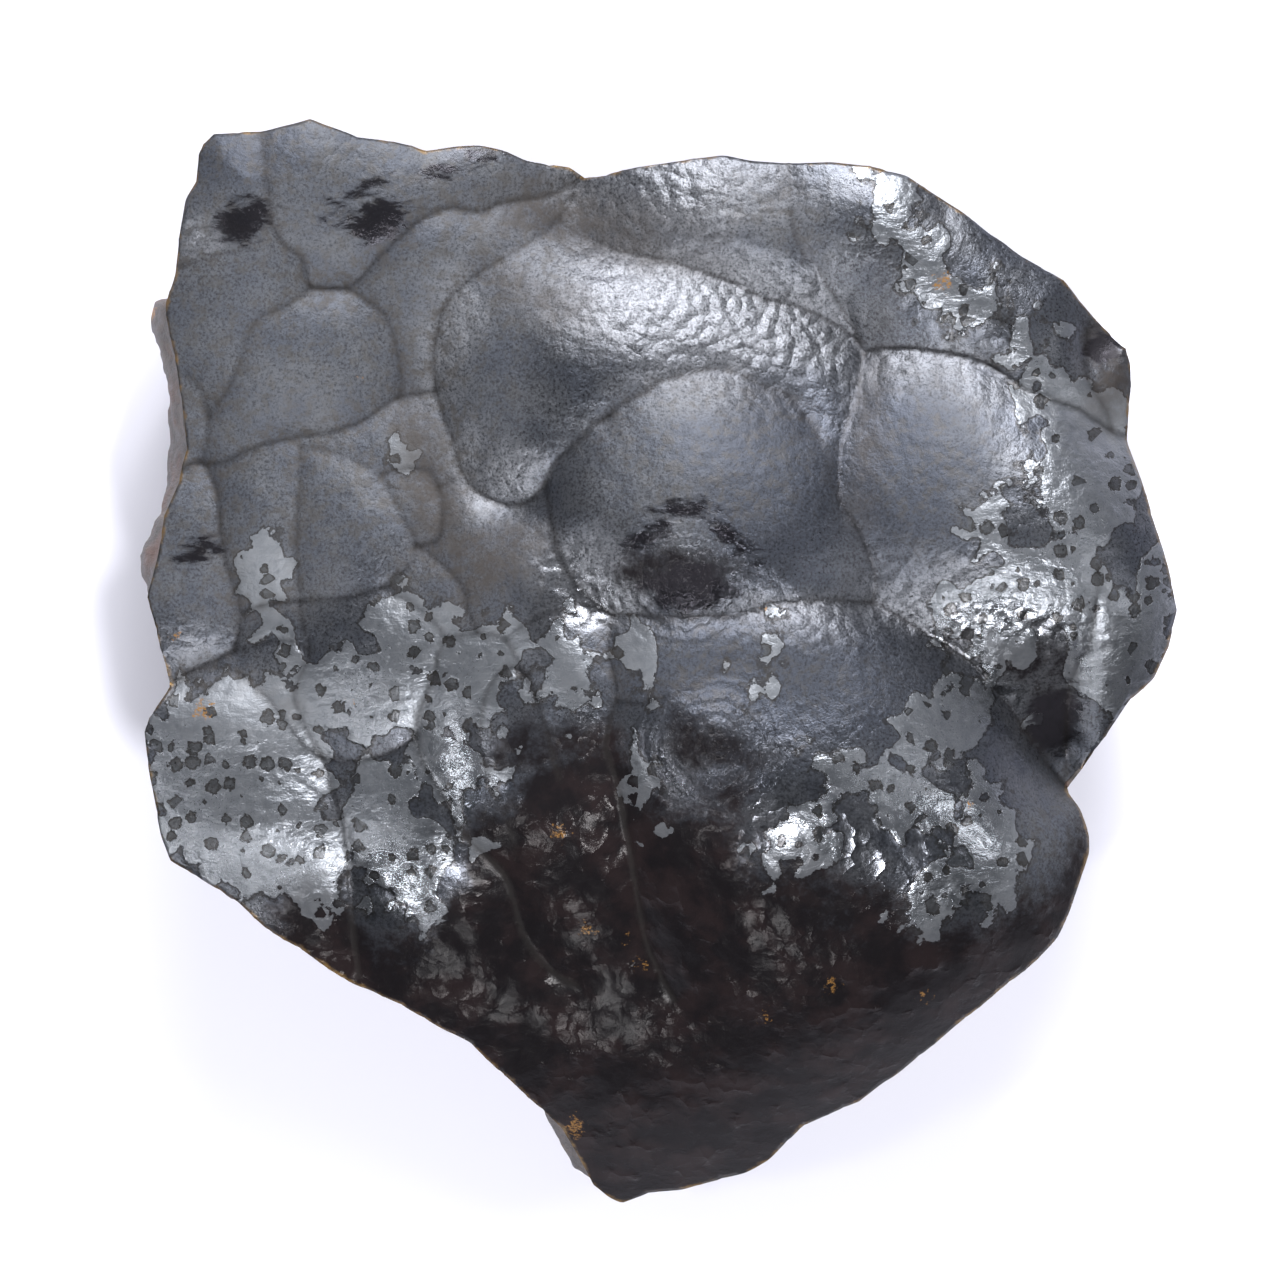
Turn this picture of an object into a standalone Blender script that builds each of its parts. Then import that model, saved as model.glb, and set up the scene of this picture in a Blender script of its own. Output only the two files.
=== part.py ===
"""Hematite specimen: a hand-sized piece of kidney ore, built as the one stone that it is.

The upper face is the grown face, a cluster of rounded lobes that meet in creases. The sides and the
underside are broken. The stone lies on its broken underside. Units in this file are millimetres and are
turned into metres where the mesh is made. +Z is up and +Y is the far edge of the stone.
"""

import math

import bpy
import numpy as np
from mathutils import Vector, noise
from mathutils.geometry import delaunay_2d_cdt

METRES_PER_MM = 0.001

# Overall sizes
HEIGHT = 28.0
FIELD_SIZE = 88.0
FIELD_CELLS = 512
CELL = FIELD_SIZE / FIELD_CELLS

# Broad form of the grown face: a dome over a level terrace, falling away to the near edge
DOME_PLACE = (2.2, 3.0)
DOME_RISE = 9.0
DOME_REACH = 19.0
FALL_START = -8.7
FALL_RADIUS = 24.0
ROLLS = ((math.radians(-20.0), 2.4, 6.5), (math.radians(85.0), 1.5, 6.0))
RELIEF_REACH = 14.0
BLEND_FLOOR = 1e-7

# Facet sizes
LINE_STEP = 0.1
RIM_STEP = 1.35
CREASE_STEP = 0.95
CREASE_CLEAR = 0.6
FACE_STEP = 1.36
FACE_CLEAR = 0.95
BASE_STEP = 3.0
BASE_CLEAR = 1.6
CDT_INSIDE = 1
CDT_EPSILON = 1e-6

# Broken side: how far down each row lies, how far in from the rim it stands, and how uneven the break is
SIDE_CENTRE = (0.0, -1.0)
SIDE_DEPTH = (0.0, 0.05, 0.15, 0.28, 0.42, 0.57, 0.72, 0.86, 0.95, 1.0)
SIDE_INSET = (0.0, 0.25, 0.7, 1.1, 1.6, 2.1, 2.9, 4.0, 5.1, 6.2)
LEAN_SCALE = 21.0
LEAN_SIZE = 6.5
LEAN_LAYER = 0.5
BREAKS = ((9.0, 1.9, 3.2), (4.3, 0.5, 1.7), (2.6, 0.3, 0.9))
BREAK_START = 5.0
LEAST_INSET = 0.4

# Ledge low on the left side, where the broken rock stands out past the rim: (y, how far out)
LEDGE = (
    (3.2, 0.0), (4.4, 0.7), (5.5, 1.1), (6.7, 1.55), (8.2, 1.1), (9.3, 0.6), (11.5, 1.2), (14.0, 1.5),
    (17.0, 1.5), (18.8, 1.6), (20.4, 1.9), (22.0, 1.7), (23.0, 1.1), (24.2, 0.0),
)
LEDGE_DEPTH = (0.0, 0.08, 0.22, 0.40, 0.60, 0.80, 1.0)
LEDGE_SHARE = (0.0, 0.25, 0.85, 1.0, 0.9, 0.35, 0.0)

# Sliver of side that shows past the rim at the near left corner
SLIVER_PLACE = (-6.0, -31.0)
SLIVER_REACH = 2.2
SLIVER_OUT = 1.1

# Underside: it touches over a flat middle and rises to its broken edge, with shallow hollows
FLAT_RADIUS = 13.0
EDGE_RISE = 1.6
EDGE_BAND = 6.0
HOLLOW_DEPTH = 1.0
HOLLOW_WAVES = ((0.31, 0.12, 0.4), (-0.14, 0.37, 1.9))

# Edge of the grown face, seen from above, from the far left corner and on clockwise
OUTLINE = (
    (-29.3, 32.8), (-29.0, 33.4), (-28.3, 34.1), (-26.7, 34.2), (-25.3, 34.2), (-23.5, 34.7),
    (-22.1, 35.1), (-20.9, 34.6), (-19.0, 33.9), (-17.1, 33.7), (-15.5, 33.3), (-14.7, 33.0),
    (-12.9, 33.3), (-11.3, 33.4), (-9.4, 33.0), (-8.1, 32.4), (-6.8, 32.2), (-5.5, 32.0), (-4.5, 31.3),
    (-3.2, 31.5), (-1.0, 32.0), (1.6, 32.4), (4.3, 32.8), (6.1, 32.4), (8.6, 32.2), (11.2, 32.3),
    (13.8, 32.0), (16.0, 31.5), (17.3, 30.6), (19.9, 29.0), (21.8, 27.5), (23.8, 26.1), (26.3, 24.7),
    (27.3, 23.4), (28.6, 21.9), (30.4, 20.3), (30.6, 19.6), (30.6, 17.8), (30.3, 14.4), (31.2, 11.9),
    (31.9, 9.6), (32.6, 7.4), (33.2, 5.1), (33.5, 3.4), (32.9, 1.1), (32.0, -0.9), (30.5, -2.3),
    (28.9, -4.7), (27.6, -6.5), (26.4, -8.0), (27.3, -9.2), (27.9, -11.0), (27.9, -11.9), (27.4, -13.4),
    (26.6, -15.9), (25.9, -17.5), (24.6, -18.9), (21.8, -21.2), (18.9, -23.6), (16.0, -26.1),
    (13.1, -28.3), (11.2, -29.1), (9.5, -29.9), (8.6, -30.9), (7.5, -32.1), (5.8, -33.1), (2.9, -33.8),
    (1.7, -34.2), (-0.4, -34.4), (-2.2, -35.1), (-3.2, -34.6), (-4.1, -33.8), (-5.3, -31.4),
    (-6.1, -30.0), (-7.4, -28.7), (-10.0, -26.3), (-11.9, -24.4), (-13.5, -23.6), (-16.4, -21.9),
    (-20.0, -20.2), (-22.9, -18.2), (-24.8, -17.1), (-26.7, -15.3), (-29.3, -13.7), (-31.1, -12.6),
    (-31.7, -11.0), (-32.0, -9.4), (-32.6, -6.1), (-32.8, -4.2), (-32.2, -2.9), (-31.1, -1.3),
    (-31.8, 1.1), (-32.4, 3.4), (-32.6, 4.3), (-32.0, 6.7), (-31.5, 9.6), (-30.6, 11.7), (-30.1, 13.8),
    (-30.3, 15.7), (-30.6, 18.6), (-31.1, 21.0), (-31.5, 22.8), (-30.8, 25.0), (-30.6, 27.3),
    (-30.2, 29.9), (-29.5, 31.0),
)

# Creases between lobes: how sharply the slope turns at the start and at the end of each, and its course
CREASES = {
    'corner_right': (0.3, 0.6, (
        (-25.3, 35.1), (-25.0, 32.1), (-24.7, 29.9), (-24.5, 28.1), (-23.7, 26.9), (-22.7, 26.1),
        (-22.3, 25.0), (-22.1, 24.1),
    )),
    'strip_under': (0.7, 0.9, (
        (-22.1, 24.1), (-20.0, 24.1), (-18.9, 24.7), (-17.8, 26.0), (-16.3, 27.4), (-14.5, 28.8),
        (-12.8, 29.3), (-11.2, 29.0), (-9.9, 29.6), (-8.7, 29.8), (-7.1, 30.1), (-6.0, 30.5),
        (-5.0, 31.3), (-4.6, 32.4),
    )),
    'corner_under': (0.5, 0.0, (
        (-31.3, 25.2), (-29.9, 25.7), (-28.3, 26.1), (-26.7, 26.5), (-25.3, 26.6),
    )),
    'tip_valley': (0.5, 1.0, (
        (-5.0, 31.3), (-5.4, 29.9), (-6.4, 28.4), (-7.9, 27.2), (-9.8, 26.0), (-11.4, 25.0),
        (-12.8, 23.8), (-13.6, 22.7), (-14.0, 21.2), (-14.2, 19.6), (-14.0, 17.5), (-13.5, 15.7),
        (-12.9, 14.4), (-12.6, 13.0), (-11.9, 11.6), (-11.0, 10.8), (-10.0, 10.3), (-9.2, 10.1),
        (-8.3, 10.3), (-7.6, 10.8), (-7.0, 11.7),
    )),
    'step_lobe_left': (0.4, 0.7, (
        (-22.1, 24.1), (-20.0, 24.1), (-18.6, 23.4), (-17.3, 22.4), (-16.7, 20.9), (-16.4, 19.2),
        (-16.2, 17.8), (-16.6, 17.0),
    )),
    'quilt_left_top': (0.3, 0.3, (
        (-25.3, 22.3), (-23.8, 22.9), (-22.1, 24.1),
    )),
    'quilt_left': (0.1, 0.3, (
        (-25.3, 22.3), (-26.1, 20.9), (-26.7, 18.9), (-27.5, 17.3), (-28.4, 16.4), (-28.6, 14.9),
        (-28.9, 13.4), (-29.3, 13.0),
    )),
    'quilt_under': (0.6, 0.9, (
        (-29.3, 13.0), (-27.9, 12.9), (-26.4, 13.6), (-24.8, 14.2), (-22.9, 14.6), (-20.3, 15.0),
        (-18.6, 15.7), (-17.4, 16.5), (-16.6, 17.0), (-15.1, 17.4), (-14.0, 17.5),
    )),
    'rim_strip': (0.2, 0.5, (
        (-30.2, 18.8), (-29.5, 18.2), (-28.9, 17.0), (-28.6, 15.7),
    )),
    'ear_top': (0.8, 0.8, (
        (-31.1, 10.6), (-30.6, 12.0), (-29.8, 12.9), (-28.9, 12.8), (-28.3, 11.7), (-27.9, 10.3),
        (-27.8, 8.5),
    )),
    'ear_right': (0.7, 0.7, (
        (-27.8, 8.5), (-27.5, 6.7), (-27.0, 5.1), (-26.6, 3.6), (-26.6, 2.2), (-27.0, 0.8),
    )),
    'ear_under': (0.7, 1.2, (
        (-27.0, 0.8), (-28.3, 0.2), (-29.4, -0.2), (-30.3, -0.8), (-31.1, -1.3), (-32.5, -1.9),
    )),
    'film_left': (0.3, 0.5, (
        (-22.7, 14.0), (-22.7, 11.9), (-22.9, 9.3), (-22.9, 6.7), (-22.7, 4.3),
    )),
    'film_right': (0.3, 0.7, (
        (-17.5, 12.1), (-16.8, 10.6), (-16.0, 9.2), (-15.3, 7.9), (-15.5, 6.6), (-16.4, 5.7),
        (-17.5, 4.9), (-19.6, 4.3), (-22.7, 4.1), (-24.7, 3.9), (-26.5, 3.4),
    )),
    'bead': (0.5, 0.6, (
        (-17.5, 12.1), (-16.1, 12.5), (-14.5, 12.4), (-13.9, 11.3), (-13.6, 9.8), (-13.9, 8.0),
        (-15.3, 7.6),
    )),
    'bead_join': (0.3, 0.3, (
        (-13.9, 11.3), (-12.8, 11.9), (-12.4, 12.5),
    )),
    'small_top': (0.3, 0.2, (
        (-22.7, 14.0), (-20.9, 13.7), (-19.0, 13.0), (-17.5, 12.1),
    )),
    'nest_under': (0.3, 0.4, (
        (-27.0, 0.8), (-25.3, 1.3), (-23.5, 1.6), (-22.1, 0.9),
    )),
    'nest_right': (0.3, 0.5, (
        (-22.7, 4.1), (-22.5, 2.5), (-22.1, 0.9), (-22.6, -0.5), (-23.1, -1.8), (-22.7, -3.2),
        (-22.0, -4.7), (-21.4, -5.9),
    )),
    'palm_under': (0.8, 0.8, (
        (-21.4, -5.9), (-19.9, -6.1), (-18.4, -6.0), (-16.9, -5.6), (-15.9, -5.0), (-15.3, -4.6),
    )),
    'palm_right': (0.5, 0.7, (
        (-13.9, 0.6), (-14.0, -0.5), (-14.6, -1.9), (-15.1, -3.3), (-15.3, -4.6),
    )),
    'palm_top': (0.4, 0.3, (
        (-17.5, 4.9), (-15.8, 4.1), (-14.1, 2.7), (-13.5, 1.6), (-13.9, 0.6),
    )),
    'finger_left': (0.7, 0.9, (
        (-15.3, -4.6), (-14.9, -6.1), (-13.9, -7.7), (-12.9, -9.6), (-11.9, -11.2), (-10.8, -12.2),
        (-9.7, -13.3), (-9.0, -15.3), (-8.5, -17.1), (-7.8, -18.4), (-6.4, -19.8), (-4.9, -20.6),
    )),
    'fist_top': (0.5, 0.4, (
        (-31.1, -1.3), (-29.8, -0.7), (-28.3, -0.2), (-26.7, -0.5), (-25.3, -1.6), (-24.0, -3.1),
        (-23.1, -4.3),
    )),
    'fist_right': (0.5, 0.9, (
        (-23.1, -4.3), (-22.2, -5.4), (-21.4, -5.9), (-20.7, -7.8), (-20.1, -9.5), (-19.8, -11.3),
        (-19.6, -13.3), (-19.4, -15.5), (-19.3, -17.4), (-19.0, -20.0),
    )),
    'dome_left': (0.4, 0.5, (
        (-11.2, -4.5), (-11.0, -2.6), (-10.4, -1.1), (-9.4, -0.2), (-8.3, -0.6), (-7.6, -2.0),
        (-7.1, -3.7), (-6.7, -5.1), (-6.1, -7.4),
    )),
    'finger_mid': (0.4, 0.0, (
        (-11.2, -4.5), (-10.8, -6.5), (-10.0, -8.7), (-9.2, -10.6), (-8.8, -12.6),
    )),
    'mottle_under': (0.4, 0.4, (
        (-13.5, 1.6), (-11.3, 2.0), (-9.6, 1.6), (-8.3, -0.6),
    )),
    'mottle_right': (0.6, 0.5, (
        (-7.0, 11.7), (-6.8, 9.9), (-6.4, 8.0), (-5.8, 6.2), (-4.5, 4.5), (-2.8, 3.2),
    )),
    'mottle_mid': (0.4, 0.4, (
        (-15.3, 7.6), (-13.9, 6.7), (-12.4, 5.1), (-11.9, 3.4), (-11.3, 2.0),
    )),
    'mottle_low': (0.3, 0.4, (
        (-9.6, 1.6), (-8.1, 2.7), (-6.1, 3.4), (-4.5, 3.8), (-2.8, 3.2),
    )),
    'big_left': (0.7, 1.3, (
        (-2.8, 3.2), (-3.0, 1.6), (-2.9, 0.3), (-2.5, -1.1), (-2.5, -2.3), (-2.9, -3.7), (-3.2, -5.2),
        (-2.8, -6.5), (-2.3, -8.1), (-2.0, -10.0), (-1.6, -11.9), (-1.3, -14.0), (-1.0, -15.9),
        (-0.6, -17.7), (0.3, -19.8), (1.3, -21.6),
    )),
    'big_shelf': (0.5, 0.1, (
        (-2.5, -2.3), (-0.9, -2.4), (0.8, -2.0), (2.2, -1.3), (3.8, -0.5), (5.1, 0.9),
    )),
    'bulge_top': (0.6, 0.7, (
        (-3.6, 15.4), (-2.2, 16.5), (-0.9, 17.3), (0.3, 18.0), (1.9, 18.5), (3.8, 18.9), (5.4, 18.6),
        (6.8, 17.8), (8.3, 17.3), (9.3, 16.2), (10.3, 14.7),
    )),
    'bulge_left': (0.7, 0.5, (
        (-7.0, 11.7), (-6.3, 13.0), (-5.2, 14.0), (-4.1, 15.1), (-2.9, 16.0),
    )),
    'bulge_right': (0.2, 0.0, (
        (10.3, 14.7), (10.7, 13.7), (11.0, 12.2),
    )),
    'deep_top': (0.9, 1.1, (
        (-6.1, 28.4), (-4.2, 27.3), (-2.3, 26.5), (-0.4, 26.1), (1.6, 25.6), (3.4, 25.0), (5.3, 24.3),
        (6.8, 23.5), (8.8, 23.0), (10.6, 22.3), (12.0, 21.5), (12.9, 20.7), (13.3, 19.8),
    )),
    'shoulder_split': (0.3, 0.6, (
        (8.6, 33.1), (8.6, 30.8), (8.8, 28.1), (9.3, 26.6), (10.3, 25.5), (11.1, 24.1), (12.1, 22.5),
        (13.3, 20.5),
    )),
    'shoulder_soft': (0.5, 0.0, (
        (18.0, 31.1), (18.3, 29.5), (18.5, 27.6), (18.9, 25.9),
    )),
    'low_ridge': (0.3, 0.3, (
        (22.1, 18.8), (21.2, 19.4), (20.3, 19.8),
    )),
    'right_top': (1.0, 0.8, (
        (13.3, 19.8), (14.0, 20.2), (15.7, 20.3), (17.6, 20.1), (19.6, 19.8), (21.2, 19.2),
        (22.5, 18.4), (23.6, 17.5), (25.2, 17.0), (27.0, 16.4), (28.3, 15.6), (29.3, 14.9),
        (31.1, 14.4),
    )),
    'right_left': (0.8, 0.8, (
        (13.3, 19.8), (13.1, 18.6), (13.0, 17.1), (12.5, 16.0), (12.0, 14.6), (11.7, 12.6),
        (11.7, 10.7), (12.2, 9.7), (12.9, 8.6), (13.4, 7.5), (13.9, 6.1), (14.0, 4.8), (13.8, 4.0),
    )),
    'chip_left': (0.9, 0.4, (
        (27.8, 22.0), (27.6, 20.9), (27.5, 19.6), (27.7, 18.3), (28.2, 17.4), (28.8, 16.4),
        (29.3, 14.9),
    )),
    'great_top': (1.2, 1.2, (
        (-2.8, 3.2), (-1.0, 3.1), (0.9, 3.0), (3.2, 3.1), (5.4, 3.2), (7.4, 3.8), (9.3, 4.0),
        (11.6, 4.1), (13.3, 4.0), (13.8, 4.0),
    )),
    'great_right': (1.2, 1.9, (
        (13.8, 4.0), (15.1, 3.3), (16.7, 2.3), (18.3, 1.3), (20.1, 0.2), (21.4, -1.3), (22.7, -2.8),
        (23.9, -4.6), (25.1, -6.3), (26.4, -7.9), (27.6, -8.7),
    )),
    'cleft_right': (0.2, 0.9, (
        (28.3, 6.7), (28.1, 4.1), (27.8, 1.6), (26.9, -0.2), (26.4, -2.3), (26.3, -4.5), (26.4, -7.9),
    )),
}

# Lobes: place of each crest, its radius of curvature, and how far that radius holds
LOBES = {
    'corner': (-27.5, 29.9, 11, 3.5),
    'strip': (-18.0, 29.5, 13, 4),
    'strip_end': (-10.0, 31.7, 15, 3.5),
    'drop': (-20.6, 25.5, 9, 2),
    'tip': (-11.3, 26.6, 13, 4),
    'step': (-15.5, 21.5, 14, 3),
    'shoulder_left': (2.2, 29.5, 18, 5),
    'shoulder': (14.4, 26.0, 20, 5),
    'shoulder_low': (24.1, 21.5, 18, 5),
    'chip': (29.1, 18.9, 10, 2),
    'left_rim': (-29.0, 21.5, 13, 3),
    'quilt': (-21.6, 18.9, 13, 4),
    'strap': (-29.8, 15.7, 9, 2),
    'film_hump': (-19.6, 9.3, 12, 3.5),
    'bead': (-15.1, 9.9, 8, 2),
    'patch': (-25.3, 8.6, 10, 3),
    'ear': (-29.4, 6.6, 12, 5),
    'nest': (-24.5, 2.5, 9, 2),
    'palm': (-19.0, -1.0, 12, 4),
    'fist': (-26.7, -8.1, 15, 6),
    'wedge': (-22.5, -3.6, 9, 2),
    'finger_a': (-16.4, -11.9, 11, 4),
    'finger_b': (-11.9, -6.1, 10, 3),
    'thumb': (-9.0, -2.6, 8, 2),
    'finger_c': (-5.5, -11.3, 12, 4),
    'mottle': (-10.0, 6.1, 11, 3),
    'mottle_low': (-5.5, 0.3, 10, 3),
    'ball': (-6.1, 20.9, 16, 7),
    'ball_right': (5.4, 20.9, 15, 4),
    'bulge': (2.2, 10.6, 16, 8),
    'right': (19.6, 11.9, 17, 7),
    'ear_right': (29.9, 1.6, 12, 4),
    'great': (7.0, -9.5, 16, 9),
    'low': (-2.3, -26.7, 26, 8),
    'shelf': (0.6, 0.6, 9, 2.5),
}

# Places whose slope is known, level crests and flanks: place, slope towards +X and +Y, and reach
KNOWN_SLOPES = {
    'corner': (-26.3, 28.3, 0, 0, 3),
    'strip': (-17.8, 28.6, 0, 0, 3),
    'ear': (-28.9, 7.2, 0, 0, 3),
    'fist': (-27.2, -5.6, 0.06, 0.06, 3.2),
    'fist_low': (-26.2, -12.2, 0.13, 0.40, 2.6),
    'great_low': (9.5, -11.0, -0.25, 0.28, 4.5),
    'great_far': (8.5, 0.5, 0.03, -0.12, 3),
    'great_far_left': (2.5, 1.2, 0, -0.12, 2.2),
    'bulge_near_left': (-5.0, 8.2, 0.42, 0.12, 1.7),
    'bulge_near': (-3.4, 5.9, 0.38, 0.26, 1.7),
    'bulge_near_low': (-1.4, 4.7, 0.18, 0.40, 1.3),
    'ball_near': (-9.0, 11.6, 0.26, 0.36, 1.5),
    'bulge': (2.1, 5.4, 0, 0, 2.6),
    'great': (3.6, -5.2, 0, 0, 4),
}
SLOPE_SPAN = 1.0

# Hollows in the grown face: place, depth and reach
HOLLOWS = {
    'dust_basin': (-4.5, 28.4, 1.2, 2.4),
    'chip_hollow': (28.6, 20.1, 1, 1.4),
    'cleft': (25.2, -2.0, 1.4, 2.0),
    'cleft_low': (26.4, -5.6, 1.0, 1.3),
}


def smooth_line(points, step):
    """Points every step along a smooth curve through the given ones."""
    points = np.array(points, float)
    first = 2 * points[0] - points[1]
    last = 2 * points[-1] - points[-2]
    points = np.vstack([first, points, last])
    parts = []
    for before, start, end, after in zip(points, points[1:], points[2:], points[3:]):
        count = max(2, int(np.hypot(*(end - start)) / step))
        t = (np.arange(count) / count)[:, None]
        pull = end - before
        bend = 2 * before - 5 * start + 4 * end - after
        turn = 3 * start - before - 3 * end + after
        parts.append(start + 0.5 * (pull * t + bend * t**2 + turn * t**3))
    parts.append(points[-2][None])
    return np.vstack(parts)


def stations(loop, step):
    """The corners of a closed line and even points between them."""
    parts = []
    for start, end in zip(loop, np.roll(loop, -1, axis=0)):
        count = max(1, round(float(np.hypot(*(end - start))) / step))
        t = (np.arange(count) / count)[:, None]
        parts.append(start + (end - start) * t)
    return np.vstack(parts)


def edge_distance(x, y, loop):
    """Distance to a closed line, positive inside it and negative outside."""
    nearest = np.full(np.shape(x), np.inf)
    inside = np.zeros(np.shape(x), bool)
    for (ax, ay), (bx, by) in zip(loop, np.roll(loop, -1, axis=0)):
        dx, dy = bx - ax, by - ay
        t = np.clip(((x - ax) * dx + (y - ay) * dy) / (dx * dx + dy * dy), 0, 1)
        nearest = np.minimum(nearest, np.hypot(x - ax - t * dx, y - ay - t * dy))
        crosses = (ay > y) != (by > y)
        if dy != 0:
            inside ^= crosses & (x < ax + (y - ay) * dx / dy)
    return np.where(inside, nearest, -nearest)


def lobe_curvature(x, y):
    """How strongly the face curves at each place, taken from the nearest lobes."""
    total = np.zeros(np.shape(x))
    weight = np.zeros(np.shape(x))
    for place_x, place_y, radius, reach in LOBES.values():
        square = (x - place_x) ** 2 + (y - place_y) ** 2
        share = np.exp(-square / (2 * reach**2)) + BLEND_FLOOR / (1 + square)
        total += share * 2 / radius
        weight += share
    return total / weight


def add_crease(load, sharp_start, sharp_end, points):
    """Lays a crease on the grid, as a turn of slope spread over the cells that it crosses."""
    line = smooth_line(points, LINE_STEP)
    steps = np.hypot(*np.diff(line, axis=0).T)
    middle = (line[1:] + line[:-1]) / 2
    share = np.cumsum(steps) / steps.sum()
    turn = (sharp_start + (sharp_end - sharp_start) * share) * steps / CELL**2
    grid = middle / CELL + FIELD_CELLS / 2
    cell = np.floor(grid).astype(int)
    part = grid - cell
    for across in (0, 1):
        for along in (0, 1):
            near_x = part[:, 0] if across else 1 - part[:, 0]
            near_y = part[:, 1] if along else 1 - part[:, 1]
            np.add.at(load, (cell[:, 1] + along, cell[:, 0] + across), -turn * near_x * near_y)


def lobe_relief(x, y, inside):
    """Height of the lobes: a surface that curves as each lobe does and turns sharply at the creases."""
    load = lobe_curvature(x, y)
    for sharp_start, sharp_end, points in CREASES.values():
        add_crease(load, sharp_start, sharp_end, points)
    load[~inside] = load[inside].mean()
    wave_y = 2 * math.pi * np.fft.fftfreq(FIELD_CELLS, CELL)[:, None]
    wave_x = 2 * math.pi * np.fft.rfftfreq(FIELD_CELLS, CELL)[None, :]
    spread = wave_x**2 + wave_y**2 + 1 / RELIEF_REACH**2
    return np.fft.irfft2(np.fft.rfft2(load) / spread, s=load.shape)


def broad_form(x, y, distance):
    """Height of the face without its lobes."""
    square = (x - DOME_PLACE[0]) ** 2 + (y - DOME_PLACE[1]) ** 2
    height = DOME_RISE * np.exp(-square / (2 * DOME_REACH**2))
    height -= np.clip(FALL_START - y, 0, None) ** 2 / (2 * FALL_RADIUS)
    for side, drop, width in ROLLS:
        facing = np.clip(np.cos(np.arctan2(y, x) - side), 0, 1)
        height -= drop * facing * np.clip(1 - distance / width, 0, 1) ** 2
    for place_x, place_y, depth, reach in HOLLOWS.values():
        square = (x - place_x) ** 2 + (y - place_y) ** 2
        height -= depth * np.exp(-square / (2 * reach**2))
    return height


def set_slopes(height, x, y):
    """Tilts the face a little round each place whose slope is known."""
    beside = SLOPE_SPAN * np.array([(1, 0), (-1, 0), (0, 1), (0, -1)])
    for place_x, place_y, slope_x, slope_y, reach in KNOWN_SLOPES.values():
        right, left, far, near = height_at(height, beside + (place_x, place_y))
        turn_x = slope_x - (right - left) / (2 * SLOPE_SPAN)
        turn_y = slope_y - (far - near) / (2 * SLOPE_SPAN)
        off_x, off_y = x - place_x, y - place_y
        height += (turn_x * off_x + turn_y * off_y) * np.exp(-(off_x**2 + off_y**2) / (2 * reach**2))
    return height


def grown_face(loop):
    """Grid of heights of the grown face, with its crown at the full height of the stone."""
    axis = (np.arange(FIELD_CELLS) - FIELD_CELLS / 2) * CELL
    x, y = np.meshgrid(axis, axis)
    distance = edge_distance(x, y, loop)
    inside = distance > 0
    height = set_slopes(lobe_relief(x, y, inside) + broad_form(x, y, distance), x, y)
    return height + HEIGHT - height[inside].max()


def height_at(face, points):
    """Height of the grown face at some points, read between the cells of its grid."""
    grid = np.asarray(points) / CELL + FIELD_CELLS / 2
    cell = np.floor(grid).astype(int)
    part_x, part_y = (grid - cell).T
    near = face[cell[:, 1], cell[:, 0]] * (1 - part_x) + face[cell[:, 1], cell[:, 0] + 1] * part_x
    far = face[cell[:, 1] + 1, cell[:, 0]] * (1 - part_x) + face[cell[:, 1] + 1, cell[:, 0] + 1] * part_x
    return near * (1 - part_y) + far * part_y


def keep_clear(kept, points, gap):
    """Adds to the kept points those that lie at least a gap from every kept one."""
    kept = list(map(tuple, kept))
    store = np.array(kept)
    for point in points:
        if np.hypot(*(store - point).T).min() >= gap:
            kept.append(tuple(point))
            store = np.vstack([store, point])
    return kept


def offset_rows(loop, step, clear):
    """Points of a triangle pattern inside a closed line, clear of that line."""
    low, high = loop.min(axis=0), loop.max(axis=0)
    rows = []
    row_step = step * math.sqrt(3) / 2
    for row, y in enumerate(np.arange(low[1], high[1], row_step)):
        x = np.arange(low[0] + step / 2 * (row % 2), high[0], step)
        rows.append(np.column_stack([x, np.full(len(x), y)]))
    points = np.vstack(rows)
    return points[edge_distance(points[:, 0], points[:, 1], loop) > clear]


def triangles(points, edge_count):
    """Triangles between points, of which the first ones are the closed edge in order."""
    edges = [(index, (index + 1) % edge_count) for index in range(edge_count)]
    vectors = [Vector(point) for point in points]
    result = delaunay_2d_cdt(vectors, edges, [], CDT_INSIDE, CDT_EPSILON)
    order = {index: originals[0] for index, originals in enumerate(result[3]) if originals}
    return [tuple(order[corner] for corner in face) for face in result[2]]


def uneven_break(point, depth):
    """How far the break strays from an even side: a lean of whole faces, then steps, ribs and splinters."""
    x, y = point
    stray = LEAN_SIZE * depth * noise.noise(Vector((x / LEAN_SCALE, y / LEAN_SCALE, LEAN_LAYER)))
    for scale, change, size in BREAKS:
        rib = noise.noise(Vector((x / scale, y / scale, change * depth + scale)))
        stray += size * rib * min(1, BREAK_START * depth)
    return stray


def side_ring(rim, depth):
    """One row of the broken side, at a share of the way down from the rim."""
    even = np.interp(depth, SIDE_DEPTH, SIDE_INSET)
    inset = even + np.array([uneven_break(point, depth) for point in rim])
    inset = np.maximum(inset, LEAST_INSET * even)
    out = np.interp(rim[:, 1], *zip(*LEDGE)) * (rim[:, 0] < 0)
    inset *= 1 - np.clip(out, 0, 1) * (1 - depth**4)
    inset -= out * np.interp(depth, LEDGE_DEPTH, LEDGE_SHARE)
    near = np.exp(-((rim - SLIVER_PLACE) ** 2).sum(axis=1) / (2 * SLIVER_REACH**2))
    inset = inset * (1 - near) - near * SLIVER_OUT * math.sin(math.pi * depth)
    inward = SIDE_CENTRE - rim
    inward /= np.hypot(*inward.T)[:, None]
    return rim + inward * inset[:, None]


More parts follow.
